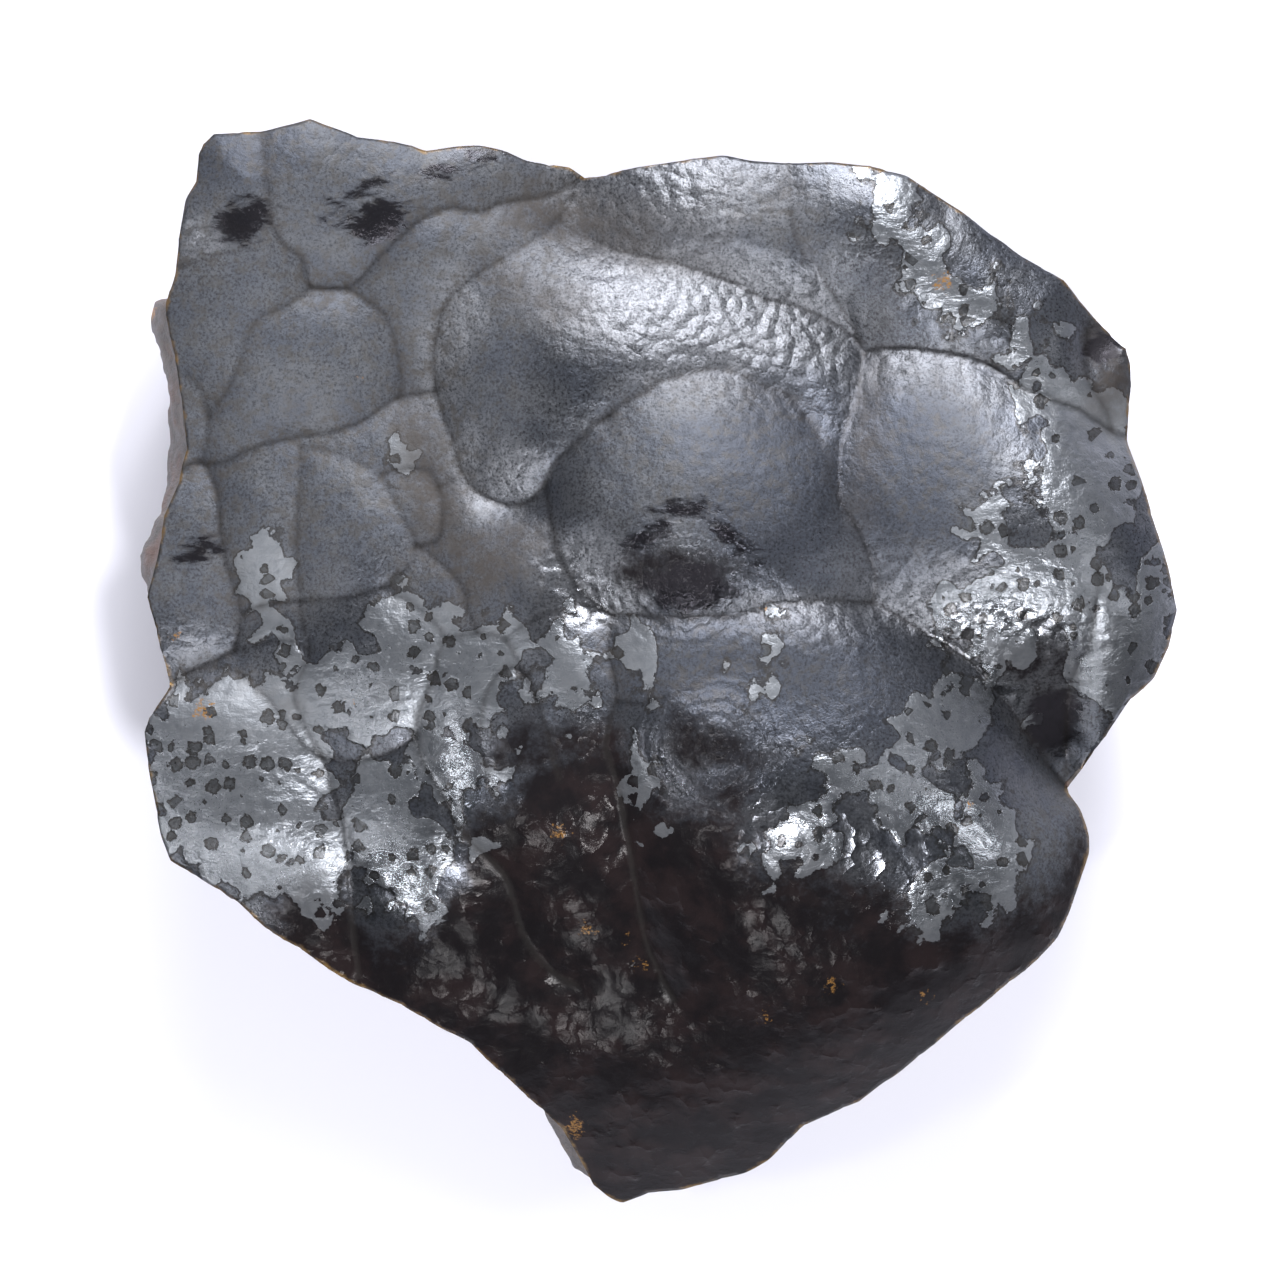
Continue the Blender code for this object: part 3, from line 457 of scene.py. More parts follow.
# Photograph's pixels to millimetres on the stone, from its length in both
LENGTH = 70.0
LENGTH_PIXELS = 1089
MM_PER_PIXEL = LENGTH / LENGTH_PIXELS
MIDDLE_PIXEL = (655.5, 664.5)
FAR = 99.0

# Splitting and smoothing of the copied solid
WELD = 1e-6
CUTS = 4
ON_FACE = 0.03
SMOOTH_SHARE = 0.5
SMOOTH_TIMES = 3
CRISP_ANGLE = math.radians(40)

# Film: a thin paler outer skin, kept only in patches (middle across, down, half width, half height, turn)
FILM_AREAS = (
    (243, 785, 92, 112, -20), (355, 690, 74, 50, 10), (410, 630, 46, 38, -30), (465, 680, 38, 72, 10),
    (395, 840, 48, 88, -15), (455, 770, 30, 62, -25), (262, 570, 24, 32, 0), (277, 613, 22, 18, 0),
    (563, 675, 26, 44, 15), (508, 640, 12, 30, 5), (663, 672, 12, 24, 0), (766, 655, 15, 32, 20),
    (800, 838, 44, 34, 0), (925, 735, 34, 46, 30), (965, 698, 38, 24, 20), (905, 800, 46, 32, 40),
    (985, 840, 30, 64, 0), (940, 885, 46, 28, -35), (985, 525, 20, 34, 10), (1075, 460, 56, 90, -15),
    (1040, 585, 66, 42, -20), (1120, 640, 54, 80, 10), (985, 625, 60, 42, 25), (925, 280, 30, 44, -10),
    (965, 300, 42, 20, -10), (1040, 365, 42, 28, 30), (895, 200, 44, 32, 20), (403, 470, 12, 16, 0),
    (640, 800, 14, 34, 0), (330, 870, 30, 40, 10), (640, 650, 20, 12, 0), (840, 770, 30, 20, 30),
)
FILM_SLOPE = 0.55
FILM_RAGGED = ((2.6, 1.0), (1.0, 0.75))
FILM_SEED = 7.0
FILM_THICK = 0.04
FILM_LIP = (-0.1, 0.15)

# Crests worn glossy, painted near black as a painted reflection of the dark camera above them (same form)
WORN_AND_REFLECTION_AREAS = (
    (244, 224, 30, 20, -25), (380, 224, 34, 20, -10), (362, 194, 26, 8, -25), (442, 171, 20, 8, 0),
    (482, 153, 16, 7, 0), (204, 550, 22, 10, -20), (688, 588, 46, 26, 0), (650, 536, 30, 9, -40),
    (690, 512, 30, 9, 0), (730, 538, 30, 9, 40), (1103, 350, 18, 16, 0), (1052, 720, 26, 34, 20),
)
WORN_AND_REFLECTION_RANGE = (-2, 1)

# Dark brown pitted skin with painted shade: below a line across the near slope (across, down), and in some
# places above it
DARK_EDGE = (
    (150, 985), (250, 905), (310, 835), (345, 850), (375, 910), (430, 900), (455, 830), (510, 765),
    (540, 705), (612, 685), (640, 745), (700, 755), (760, 800), (850, 855), (950, 890), (1010, 870),
    (1060, 830), (1110, 770),
)
DARK_WANDER = 50
DARK_WANDER_SIZE = 4.0
DARK_SEED = 3.0
DARK_RANGE = (-30, 110)
# The places above the line hold painted shade in hollows and the cleft, and a painted dark reflection on two
# crests
DARK_AND_SHADE_AREAS = (
    (588, 765, 46, 60, 0), (705, 742, 62, 34, 10), (645, 850, 34, 90, 0), (1020, 665, 52, 30, 15),
    (968, 640, 26, 14, 20), (1042, 715, 34, 46, 0), (1110, 375, 26, 56, 0), (672, 574, 62, 34, 0),
    (1086, 850, 20, 50, 0), (725, 795, 46, 34, 20), (525, 745, 40, 40, 0),
)
DARK_AREA_SHARE = 0.66

# Glossy wrinkled skin where the lobes turn down to the near side
GLOSS_AREAS = (
    (800, 840, 150, 70, 10), (955, 850, 60, 80, 0), (1000, 655, 80, 55, 10), (640, 800, 40, 90, 0),
    (390, 890, 60, 50, 0), (470, 800, 60, 80, -20), (560, 590, 60, 40, 40), (800, 838, 60, 50, 0),
    (198, 242, 18, 22, 0),
)

# Bluer, darker skin on three crests (same form)
BLUE_AREAS = (
    (780, 480, 80, 100, 0), (900, 480, 60, 110, 0), (780, 680, 190, 62, 5), (230, 160, 70, 30, -10),
)

# Dull, even skin on the low lobes of the far left and on some of the level crests
DULL_AREAS = (
    (290, 330, 250, 250, 0), (480, 240, 110, 110, 0), (470, 570, 90, 60, 0), (230, 560, 120, 70, 0),
    (730, 668, 170, 48, 5), (705, 460, 120, 85, 0), (930, 465, 70, 95, 0), (780, 215, 70, 40, 15),
    (1040, 850, 50, 90, 20), (240, 695, 80, 40, 10),
)

# Dust lying in the valleys, with painted shade in some valleys, along one crease and in the chip's hollow
# (same form as the film)
DUST_AND_SHADE_AREAS = (
    (590, 222, 110, 32, 12), (430, 480, 34, 100, -12), (478, 565, 50, 46, 20), (540, 300, 60, 20, 30),
    (640, 250, 60, 14, 12), (1105, 380, 26, 50, 0), (508, 538, 40, 20, 10), (866, 430, 12, 80, 8),
)

# Glittering rippled skin on the far side of the lobes and beside the cleft, painted paler there as a painted
# highlight
RIPPLE_AND_HIGHLIGHT_AREAS = (
    (690, 305, 190, 62, 12), (735, 400, 85, 28, 12), (915, 375, 62, 26, 12), (680, 195, 140, 48, 0),
    (960, 615, 110, 50, 20), (1030, 655, 70, 60, 0), (800, 625, 80, 30, 8), (505, 470, 36, 30, 0),
    (590, 580, 60, 50, 30), (455, 330, 30, 70, 10), (470, 460, 25, 40, 0), (205, 240, 26, 30, 0),
)

# Patches of skin: areas, how far and how broadly the edge wanders, a seed, and where it starts and is whole
PATCHES = {
    "dark": (DARK_AND_SHADE_AREAS, 1.2, 2.5, 47.0, -1.0, 1.6),
    "gloss": (GLOSS_AREAS, 0.8, 2.5, 53.0, -1.5, 1.5),
    "dull": (DULL_AREAS, 0.0, 1.0, 0.0, -1.5, 2.5),
    "blue": (BLUE_AREAS, 0.8, 3.0, 59.0, -1.8, 2.2),
    "ripple_and_highlight": (RIPPLE_AND_HIGHLIGHT_AREAS, 0.8, 2.5, 43.0, -1.2, 1.8),
    "dust_and_shade": (DUST_AND_SHADE_AREAS, 1.0, 3.0, 5.0, -1.5, 2.5),
}

# Crests with fine rings round them, and specks of ochre rust (across, down, radius)
RING_CRESTS = ((685, 575), (715, 745))
OCHRE_SPECKS = (
    (360, 375, 4), (942, 285, 12), (762, 608, 5), (205, 710, 12), (355, 700, 5), (560, 830, 10),
    (588, 928, 8), (627, 935, 5), (643, 965, 7), (830, 985, 9), (922, 995, 6), (765, 1015, 6),
    (968, 800, 6), (175, 635, 7), (575, 1128, 12), (138, 597, 8), (150, 312, 8),
)

# Creases as soft lines of painted shade: half width of the line itself and of the darker band beside it, and
# how much fuller it is
CREASE_WIDTH = 0.11
CREASE_SIDE_WIDTH = 0.7
CREASE_FULLER = 0.35

# Low relief of the grown face: layers of lumps, each with its size, height or share, and seed
FACE_LAYERS = ((3.5, 0.06, 1.0), (1.4, 0.03, 2.0))
RIPPLE_SLANT = ((0.75, -0.35, 0), (0.35, 1.4, 0), (0, 0, 1))
RIPPLE_COARSE = (1.5, 11.0)
RIPPLE_FINE = (0.8, 41.0)
RIPPLE_FINE_SHARE = 0.5
RIPPLE_MIDDLE = 0.3
RIPPLE_HEIGHT = 0.14
DIMPLE_LAYERS = ((1.7, 1.0, 13.0), (0.9, 0.5, 17.0))
DARK_DIMPLES = 0.09
GLOSS_DIMPLES = 0.04

# Low relief of the break: fibres drawn out downwards, each layer with its stretch first, and steps
FIBRE_LAYERS = ((0.18, 1.1, 1.0, 19.0), (0.3, 0.5, 0.6, 23.0))
FIBRE_HEIGHT = 0.16
STEP_LAYERS = ((4.5, 1.0, 29.0), (2.0, 0.5, 31.0))
STEP_HEIGHT = 0.28
BREAK_SINK = 0.2


def on_stone(across, down):
    """A place on the photograph, as millimetres on the stone."""
    return (across - MIDDLE_PIXEL[0]) * MM_PER_PIXEL, (MIDDLE_PIXEL[1] - down) * MM_PER_PIXEL


def inside_areas(places, areas):
    """Distance in millimetres inside the nearest of some ovals, negative outside them all."""
    deepest = np.full(len(places), -FAR)
    for across, down, half_width, half_height, turn in areas:
        x, y = on_stone(across, down)
        cos, sin = math.cos(math.radians(turn)), math.sin(math.radians(turn))
        along = (places[:, 0] - x) * cos - (places[:, 1] - y) * sin
        aside = (places[:, 0] - x) * sin + (places[:, 1] - y) * cos
        share = np.hypot(along / half_width, aside / half_height) / MM_PER_PIXEL
        deepest = np.maximum(deepest, (1 - share) * min(half_width, half_height) * MM_PER_PIXEL)
    return deepest


def lumps(places, size, seed=0.0):
    """Smooth unevenness between about -1 and 1 at each place, with lumps of the given size."""
    return np.array([noise.noise(Vector(place)) for place in places / size + seed])


def layered(places, layers):
    """Layers of lumps laid on one another."""
    return sum(share * lumps(places, size, seed) for size, share, seed in layers)


def soft_step(value, low, high):
    """0 below low, 1 above high, and a smooth rise between them."""
    share = np.clip((value - low) / (high - low), 0, 1)
    return share * share * (3 - 2 * share)


def film_depth(places):
    """How far inside the film each place lies, with its ragged edge."""
    depth = FILM_SLOPE * inside_areas(places, FILM_AREAS)
    for size, ragged in FILM_RAGGED:
        depth += ragged * lumps(places, size, FILM_SEED)
    return np.clip(depth, -1, 1)


def patch_share(places, areas, wander, size, seed, low, high):
    """How fully a patch of skin covers each place, from 0 to 1."""
    return soft_step(inside_areas(places, areas) + wander * lumps(places, size, seed), low, high)


# Copy of the solid, its doubles merged
stone_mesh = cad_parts["hematite"].data.copy()
stone = bpy.data.objects.new("hematite_stone", stone_mesh)
bpy.context.scene.collection.objects.link(stone)
bpy.ops.object.select_all(action="DESELECT")
stone.select_set(True)
bpy.context.view_layer.objects.active = stone
bpy.ops.object.mode_set(mode="EDIT")
bpy.ops.mesh.select_all(action="SELECT")
bpy.ops.mesh.remove_doubles(threshold=WELD)
bpy.ops.object.mode_set(mode="OBJECT")

# Faces of the grown face and of the break told apart, then all split
loop = np.array(OUTLINE)
face = grown_face(loop)


def corner_places():
    """Places of the stone's corners, in millimetres."""
    places = np.empty(len(stone_mesh.vertices) * 3)
    stone_mesh.vertices.foreach_get("co", places)
    return places.reshape(-1, 3) / METRES_PER_MM


places = corner_places()
on_face = np.abs(places[:, 2] - height_at(face, places[:, :2])) < ON_FACE
stone_mesh.materials.clear()
stone_mesh.materials.append(bpy.data.materials.new("kidney_skin"))
stone_mesh.materials.append(bpy.data.materials.new("broken_ore"))
for polygon in stone_mesh.polygons:
    polygon.material_index = 0 if all(on_face[corner] for corner in polygon.vertices) else 1
bpy.ops.object.mode_set(mode="EDIT")
bpy.ops.mesh.select_all(action="SELECT")
bpy.ops.mesh.subdivide(number_cuts=CUTS)
bpy.ops.object.mode_set(mode="OBJECT")

corners = np.empty(len(stone_mesh.loops), int)
stone_mesh.loops.foreach_get("vertex_index", corners)
broken = np.empty(len(stone_mesh.polygons), int)
stone_mesh.polygons.foreach_get("material_index", broken)
broken_corner = np.zeros(len(stone_mesh.vertices), bool)
grown_corner = np.zeros(len(stone_mesh.vertices), bool)
broken_corner[corners.reshape(-1, 3)[broken == 1]] = True
grown_corner[corners.reshape(-1, 3)[broken == 0]] = True
inner = broken_corner & ~grown_corner

# Break smoothed between the facets of the solid
stone_mesh.vertices.foreach_set("select", inner)
bpy.ops.object.mode_set(mode="EDIT")
bpy.ops.mesh.select_mode(type="VERT")
bpy.ops.object.mode_set(mode="OBJECT")
stone_mesh.vertices.foreach_set("select", inner)
bpy.ops.object.mode_set(mode="EDIT")
bpy.ops.mesh.vertices_smooth(factor=SMOOTH_SHARE, repeat=SMOOTH_TIMES)
bpy.ops.object.mode_set(mode="OBJECT")

# What the skin is like at each corner of the grown face
places = corner_places()
top = places[grown_corner]
top_flat = np.column_stack([top[:, :2], np.zeros(len(top))])
skin = {name: patch_share(top_flat, *patch) for name, patch in PATCHES.items()}
skin["film"] = film_depth(top_flat)
skin["worn_crest_reflection"] = np.clip(inside_areas(top_flat, WORN_AND_REFLECTION_AREAS), *WORN_AND_REFLECTION_RANGE)
skin["rim"] = np.abs(edge_distance(top[:, 0], top[:, 1], loop))
down = MIDDLE_PIXEL[1] - top[:, 1] / MM_PER_PIXEL
across = MIDDLE_PIXEL[0] + top[:, 0] / MM_PER_PIXEL
wander = DARK_WANDER * lumps(top_flat, DARK_WANDER_SIZE, DARK_SEED)
skin["brown"] = soft_step(down - np.interp(across, *zip(*DARK_EDGE)) + wander, *DARK_RANGE)
skin["dark"] = np.maximum(skin["brown"], DARK_AREA_SHARE * skin["dark"])

wave_y = 2 * math.pi * np.fft.fftfreq(FIELD_CELLS, CELL)[:, None]
wave_x = 2 * math.pi * np.fft.rfftfreq(FIELD_CELLS, CELL)[None, :]
line_load = np.zeros((FIELD_CELLS, FIELD_CELLS))
for sharp_start, sharp_end, points in CREASES.values():
    add_crease(line_load, min(1, sharp_start + CREASE_FULLER), min(1, sharp_end + CREASE_FULLER), points)


def spread_lines(width):
    """The creases as soft lines of the given half width."""
    soft = np.exp(-(wave_x**2 + wave_y**2) * width**2 / 2)
    return -np.fft.irfft2(np.fft.rfft2(line_load) * soft, s=line_load.shape) * width * math.sqrt(2 * math.pi)


skin["crease"] = np.clip(height_at(spread_lines(CREASE_WIDTH), top[:, :2]), 0, 1)
skin["near_crease"] = np.clip(height_at(spread_lines(CREASE_SIDE_WIDTH), top[:, :2]), 0, 1)

# Low relief of the grown face
scales = np.abs(lumps(top_flat @ np.array(RIPPLE_SLANT), *RIPPLE_COARSE))
scales += RIPPLE_FINE_SHARE * np.abs(lumps(top_flat, *RIPPLE_FINE))
dimpled = np.maximum(DARK_DIMPLES * skin["dark"], GLOSS_DIMPLES * skin["gloss"])
height = height_at(face, top[:, :2])
height += layered(top_flat, FACE_LAYERS)
height += RIPPLE_HEIGHT * skin["ripple_and_highlight"] * (scales - RIPPLE_MIDDLE)
height += dimpled * layered(top_flat, DIMPLE_LAYERS)
height += FILM_THICK * soft_step(skin["film"], *FILM_LIP)
places[grown_corner, 2] = np.minimum(height, HEIGHT)

# Low relief of the break: splinters that run from the grown face downwards, and steps
normals = np.empty(len(stone_mesh.vertices) * 3)
stone_mesh.vertices.foreach_get("normal", normals)
normals = normals.reshape(-1, 3)
side = places[inner]
fibres = sum(share * lumps(side * (1, 1, stretch), size, seed) for stretch, size, share, seed in FIBRE_LAYERS)
rise = FIBRE_HEIGHT * fibres + STEP_HEIGHT * layered(side, STEP_LAYERS) - BREAK_SINK
places[inner] += normals[inner] * rise[:, None]

low, high = (np.array(corner) / METRES_PER_MM for corner in cad_box)
places = np.clip(places, low, high)
stone_mesh.vertices.foreach_set("co", (places * METRES_PER_MM).ravel())


def keep(name, values):
    """Keeps a value at each corner, for the finishes to read."""
    stone_mesh.attributes.new(name, "FLOAT", "POINT").data.foreach_set("value", values)


for name, values in skin.items():
    whole = np.zeros(len(places))
    whole[grown_corner] = values
    keep(name, whole)
ring = np.full(len(places), FAR)
for crest in RING_CRESTS:
    x, y = on_stone(*crest)
    ring = np.minimum(ring, np.hypot(places[:, 0] - x, places[:, 1] - y))
keep("ring", ring)
ochre = np.full(len(places), -FAR)
for across, down, radius in OCHRE_SPECKS:
    x, y = on_stone(across, down)
    ochre = np.maximum(ochre, radius * MM_PER_PIXEL - np.hypot(places[:, 0] - x, places[:, 1] - y))
keep("ochre", ochre)
stone_mesh.update()

bpy.ops.object.select_all(action="DESELECT")
stone.select_set(True)
bpy.ops.object.shade_smooth_by_angle(angle=CRISP_ANGLE)


# Finishes: helpers that add shader nodes, each giving a socket
def add(tree, kind, inputs=None, **settings):
    """A new node with its settings, and its inputs given a value or linked to a socket."""
    node = tree.nodes.new(kind)
    for name, value in settings.items():
        setattr(node, name, value)
    for name, value in (inputs or {}).items():
        if isinstance(value, bpy.types.NodeSocket):
            tree.links.new(value, node.inputs[name])
        else:
            node.inputs[name].default_value = value
    return node


def read(tree, name):
    """A value kept at the corners."""
    return add(tree, "ShaderNodeAttribute", attribute_name=name).outputs["Fac"]


def maths(tree, operation, first, second=0.0, third=0.0):
    """A sum, product or the like."""
    return add(tree, "ShaderNodeMath", {0: first, 1: second, 2: third}, operation=operation).outputs[0]


def times(tree, first, second):
    """A product."""
    return maths(tree, "MULTIPLY", first, second)


def times_add(tree, first, second, third):
    """A product with a third number added."""
    return maths(tree, "MULTIPLY_ADD", first, second, third)


def less(tree, first, second):
    """The first number less the second."""
    return maths(tree, "SUBTRACT", first, second)


def span(tree, value, low, high, start=0.0, end=1.0):
    """A value carried smoothly from one range to another, and held at its ends."""
    inputs = {"Value": value, "From Min": low, "From Max": high, "To Min": start, "To Max": end}
    return add(tree, "ShaderNodeMapRange", inputs, interpolation_type="SMOOTHSTEP").outputs["Result"]


def blend(tree, share, first, second):
    """A colour between two."""
    return add(tree, "ShaderNodeMix", {0: share, 6: first, 7: second}, data_type="RGBA").outputs[2]


def number_blend(tree, share, first, second):
    """A number between two."""
    return add(tree, "ShaderNodeMix", {0: share, 2: first, 3: second}, data_type="FLOAT").outputs[0]


def in_millimetres(tree, stretch=(1, 1, 1)):
    """Places on the stone in millimetres, stretched along an axis where asked."""
    place = add(tree, "ShaderNodeTexCoord").outputs["Object"]
    scale = [share / METRES_PER_MM for share in stretch]
    return add(tree, "ShaderNodeVectorMath", {0: place, 1: scale}, operation="MULTIPLY").outputs[0]


def noise_node(tree, where, scale, detail=2.0, rough=0.5, warp=0.0):
    """A noise with so many lumps to the millimetre."""
    inputs = {"Vector": where, "Scale": scale, "Detail": detail, "Roughness": rough, "Distortion": warp}
    return add(tree, "ShaderNodeTexNoise", inputs)


def speckle(tree, where, *settings):
    """The strength of a noise."""
    return noise_node(tree, where, *settings).outputs["Fac"]


def warped_places(tree, where, scale, size):
    """Places moved about by a noise."""
    shift = noise_node(tree, where, scale, 1.0).outputs["Color"]
    inputs = {0: shift, 1: (size, size, size), 2: where}
    return add(tree, "ShaderNodeVectorMath", inputs, operation="MULTIPLY_ADD").outputs[0]


def cell_pattern(tree, where, scale):
    """A flat pattern of cells, so many to the millimetre."""
    return add(tree, "ShaderNodeTexVoronoi", {"Vector": where, "Scale": scale}, voronoi_dimensions="2D")


def link_shader(tree, heights, **sockets):
    """Feeds the shader with its small relief and with what changes over the surface."""
    bump = add(tree, "ShaderNodeBump", {"Height": heights, "Distance": METRES_PER_MM, "Strength": 1.0})
    shader = tree.nodes["Principled BSDF"]
    tree.links.new(bump.outputs["Normal"], shader.inputs["Normal"])
    for name, socket in sockets.items():
        tree.links.new(socket, shader.inputs[name.replace("_", " ")])
    return shader


def new_group(name, inlets, outlet):
    """An empty node group with number inputs and one number output, its tree, inlet and outlet."""
    group = bpy.data.node_groups.new(name, "ShaderNodeTree")
    for inlet in inlets:
        group.interface.new_socket(inlet, in_out="INPUT", socket_type="NodeSocketFloat")
    group.interface.new_socket(outlet, in_out="OUTPUT", socket_type="NodeSocketFloat")
    return group, group.nodes.new("NodeGroupInput").outputs, group.nodes.new("NodeGroupOutput").inputs


# Grain: the fine crystals of the ore, which show in both finishes
GRAIN_NOISE = (3.0, 0.7)
grain_group, inlet, outlet = new_group("stone_grain", ("Crystals",), "Grain")
crystals = speckle(grain_group, in_millimetres(grain_group), inlet["Crystals"], *GRAIN_NOISE)
grain_group.links.new(crystals, outlet["Grain"])


def grain_of(tree, crystals):
    """The grain in a finish, with so many crystals to the millimetre."""
    return add(tree, "ShaderNodeGroup", {"Crystals": crystals}, node_tree=grain_group).outputs["Grain"]


# Rust: ochre specks broken up by a coarse noise and thinned by the grain, on both finishes
RUST_LEVEL = 0.58
RUST_EDGE = (-0.05, 0.2)
RUST_THIN = (0.6, 0.4)
SKIN_CRYSTALS = 5.5
rust_group, inlet, outlet = new_group("ochre_rust", ("Lumps", "Break Up", "Thinness"), "Mask")
broken_up = speckle(rust_group, in_millimetres(rust_group), inlet["Lumps"], 3.0, 0.6)
broken_up = times(rust_group, less(rust_group, broken_up, RUST_LEVEL), inlet["Break Up"])
specks = span(rust_group, maths(rust_group, "ADD", broken_up, read(rust_group, "ochre")), *RUST_EDGE)
thin = times(rust_group, span(rust_group, grain_of(rust_group, SKIN_CRYSTALS), *RUST_THIN), inlet["Thinness"])
rust_group.links.new(times(rust_group, specks, less(rust_group, 1.0, thin)), outlet["Mask"])


def rust_of(tree, size, break_up, thinness):
    """The rust in a finish."""
    inputs = {"Lumps": size, "Break Up": break_up, "Thinness": thinness}
    return add(tree, "ShaderNodeGroup", inputs, node_tree=rust_group).outputs["Mask"]


# Noises of the grown skin: lumps to the millimetre, detail and roughness
FINE = (11.0, 2.0, 0.7)
MOTTLE = (0.35, 4.0, 0.6)
CLOUD = (1.3, 4.0, 0.65)
DENTS = (1.5, 3.0, 0.6)
STREAKS = (1.3, 4.0, 0.65, 0.5)
STREAK_STRETCH = (0.5, 1.3, 1)
NOISE_RANGE = (0.3, 0.7)

kidney_skin = stone_mesh.materials[0]
kidney_skin.use_nodes = True
tree = kidney_skin.node_tree
where = in_millimetres(tree)
grain = grain_of(tree, SKIN_CRYSTALS)
fine = speckle(tree, where, *FINE)
mottle = speckle(tree, where, *MOTTLE)
cloud = speckle(tree, where, *CLOUD)
dent = speckle(tree, where, *DENTS)
streak = speckle(tree, in_millimetres(tree, STREAK_STRETCH), *STREAKS)
ripple_and_highlight = read(tree, "ripple_and_highlight")
dull = read(tree, "dull")
crease = read(tree, "crease")

# Film, with round holes: each cell of a pattern has a hole of its own size, or none
HOLES_PER_MM = 0.85
HOLE_REACH = (-0.50, 0.46)
HOLE_RAGGED = 0.9
FILM_EDGE_RAGGED = 0.5
LINE_INSIDE = 0.06
cells = cell_pattern(tree, where, HOLES_PER_MM)
reach = add(tree, "ShaderNodeSeparateColor", {0: cells.outputs["Color"]}).outputs[0]
reach = span(tree, reach, 0.0, 1.0, *HOLE_REACH)
wide = less(tree, maths(tree, "DIVIDE", cells.outputs["Distance"], HOLES_PER_MM), HOLE_RAGGED / 2)
wide = times_add(tree, speckle(tree, where, 2.2, 3.0, 0.6), HOLE_RAGGED, wide)
hole = less(tree, reach, wide)
film_edge = times_add(tree, speckle(tree, where, 3.6, 3.0), FILM_EDGE_RAGGED, -FILM_EDGE_RAGGED / 2)
film_whole = maths(tree, "ADD", read(tree, "film"), film_edge)
film_place = maths(tree, "MINIMUM", film_whole, times(tree, hole, -1.0))
filmed = span(tree, film_place, -0.02, 0.04)
from_line = maths(tree, "ABSOLUTE", maths(tree, "ADD", film_place, LINE_INSIDE))
film_line = span(tree, from_line, 0.02, 0.12, 1.0, 0.0)
pit = times(tree, span(tree, hole, -0.02, 0.05), span(tree, film_whole, -0.1, 0.1))

# Worn crests with their painted dark reflection, dark skin with painted shade, and glossy skin, with edges
# that follow the noises
worn_and_reflection_place = times_add(tree, streak, 3.0, less(tree, read(tree, "worn_crest_reflection"), 1.5))
worn_and_reflection_place = times_add(tree, grain, 0.8, less(tree, worn_and_reflection_place, 0.4))
worn_and_reflection_share = span(tree, worn_and_reflection_place, -0.35, 0.45)
dark_place = times_add(tree, cloud, 0.9, less(tree, read(tree, "dark"), 0.45))
darkened = span(tree, dark_place, 0.05, 0.78)
glossy = maths(tree, "MAXIMUM", darkened, read(tree, "gloss"))
browned = times(tree, span(tree, mottle, 0.40, 0.66), read(tree, "brown"))

# Bare skin: blue-grey, painted paler where rippled as a painted highlight, bluer on three crests, stained
# where dull
BARE_BLUE = (0.066, 0.072, 0.088, 1)
BARE_GREY = (0.088, 0.092, 0.103, 1)
PAINTED_FAR_HIGHLIGHT = (0.145, 0.150, 0.166, 1)
CREST_BLUE = (0.050, 0.056, 0.073, 1)
CREST_SHARE = 0.8
GRAIN_DARK = (0.030, 0.031, 0.036, 1)
STAIN_BROWN = (0.066, 0.062, 0.059, 1)
bare_colour = blend(tree, span(tree, mottle, *NOISE_RANGE), BARE_BLUE, BARE_GREY)
bare_colour = blend(tree, ripple_and_highlight, bare_colour, PAINTED_FAR_HIGHLIGHT)
bare_colour = blend(tree, times(tree, read(tree, "blue"), CREST_SHARE), bare_colour, CREST_BLUE)
bare_colour = blend(tree, span(tree, grain, 0.25, 0.62), GRAIN_DARK, bare_colour)
stained = times(tree, dull, span(tree, cloud, 0.46, 0.64, 0.0, 0.5))
bare_colour = blend(tree, stained, bare_colour, STAIN_BROWN)

# Film, its holes and the dark line along its edge
FILM_DEEP = (0.128, 0.136, 0.151, 1)
FILM_PALE = (0.160, 0.168, 0.184, 1)
HOLE_DARK = (0.042, 0.041, 0.040, 1)
HOLE_PALE = (0.074, 0.077, 0.082, 1)
HOLE_SHARE = 0.65
LINE_DARK = (0.024, 0.021, 0.018, 1)
LINE_SHARE = 0.55
film_colour = blend(tree, span(tree, cloud, *NOISE_RANGE), FILM_DEEP, FILM_PALE)
hole_colour = blend(tree, span(tree, mottle, 0.4, 0.6), HOLE_DARK, HOLE_PALE)
colour = blend(tree, filmed, bare_colour, film_colour)
colour = blend(tree, times(tree, pit, HOLE_SHARE), colour, hole_colour)
colour = blend(tree, times(tree, film_line, LINE_SHARE), colour, LINE_DARK)

# Dark skin and painted shade of the near slope, which the film partly hides, with a painted dark reflection
# on two crests
SLOPE_BLACK = (0.0075, 0.0065, 0.0075, 1)
SLOPE_BROWN = (0.0150, 0.0108, 0.0115, 1)
FILM_HIDES = 0.45
dark_colour = blend(tree, browned, SLOPE_BLACK, SLOPE_BROWN)
dark_shows = less(tree, 1.0, times(tree, filmed, FILM_HIDES))
colour = blend(tree, times(tree, darkened, dark_shows), colour, dark_colour)

# Dust and painted shade in the valleys, a darker band beside the creases, worn crests with a painted
# reflection, painted shade along the creases, the rim and rust
DUST_AND_SHADE_BROWN = (0.043, 0.038, 0.036, 1)
DUST_AND_SHADE_SHARE = 0.85
PAINTED_CREST_REFLECTION = (0.014, 0.013, 0.016, 1)
CREST_REFLECTION_SHARE = 0.92
PAINTED_CREASE_SHADE = (0.011, 0.0095, 0.009, 1)
CREASE_SHADE_SHARE = 0.78
RIM_DARK = (0.030, 0.027, 0.022, 1)
RIM_OCHRE = (0.17, 0.105, 0.040, 1)
RIM_WIDTH = (0.36, 0.75)
RIM_SHARE = 0.9
SKIN_RUST = (0.17, 0.088, 0.028, 1)
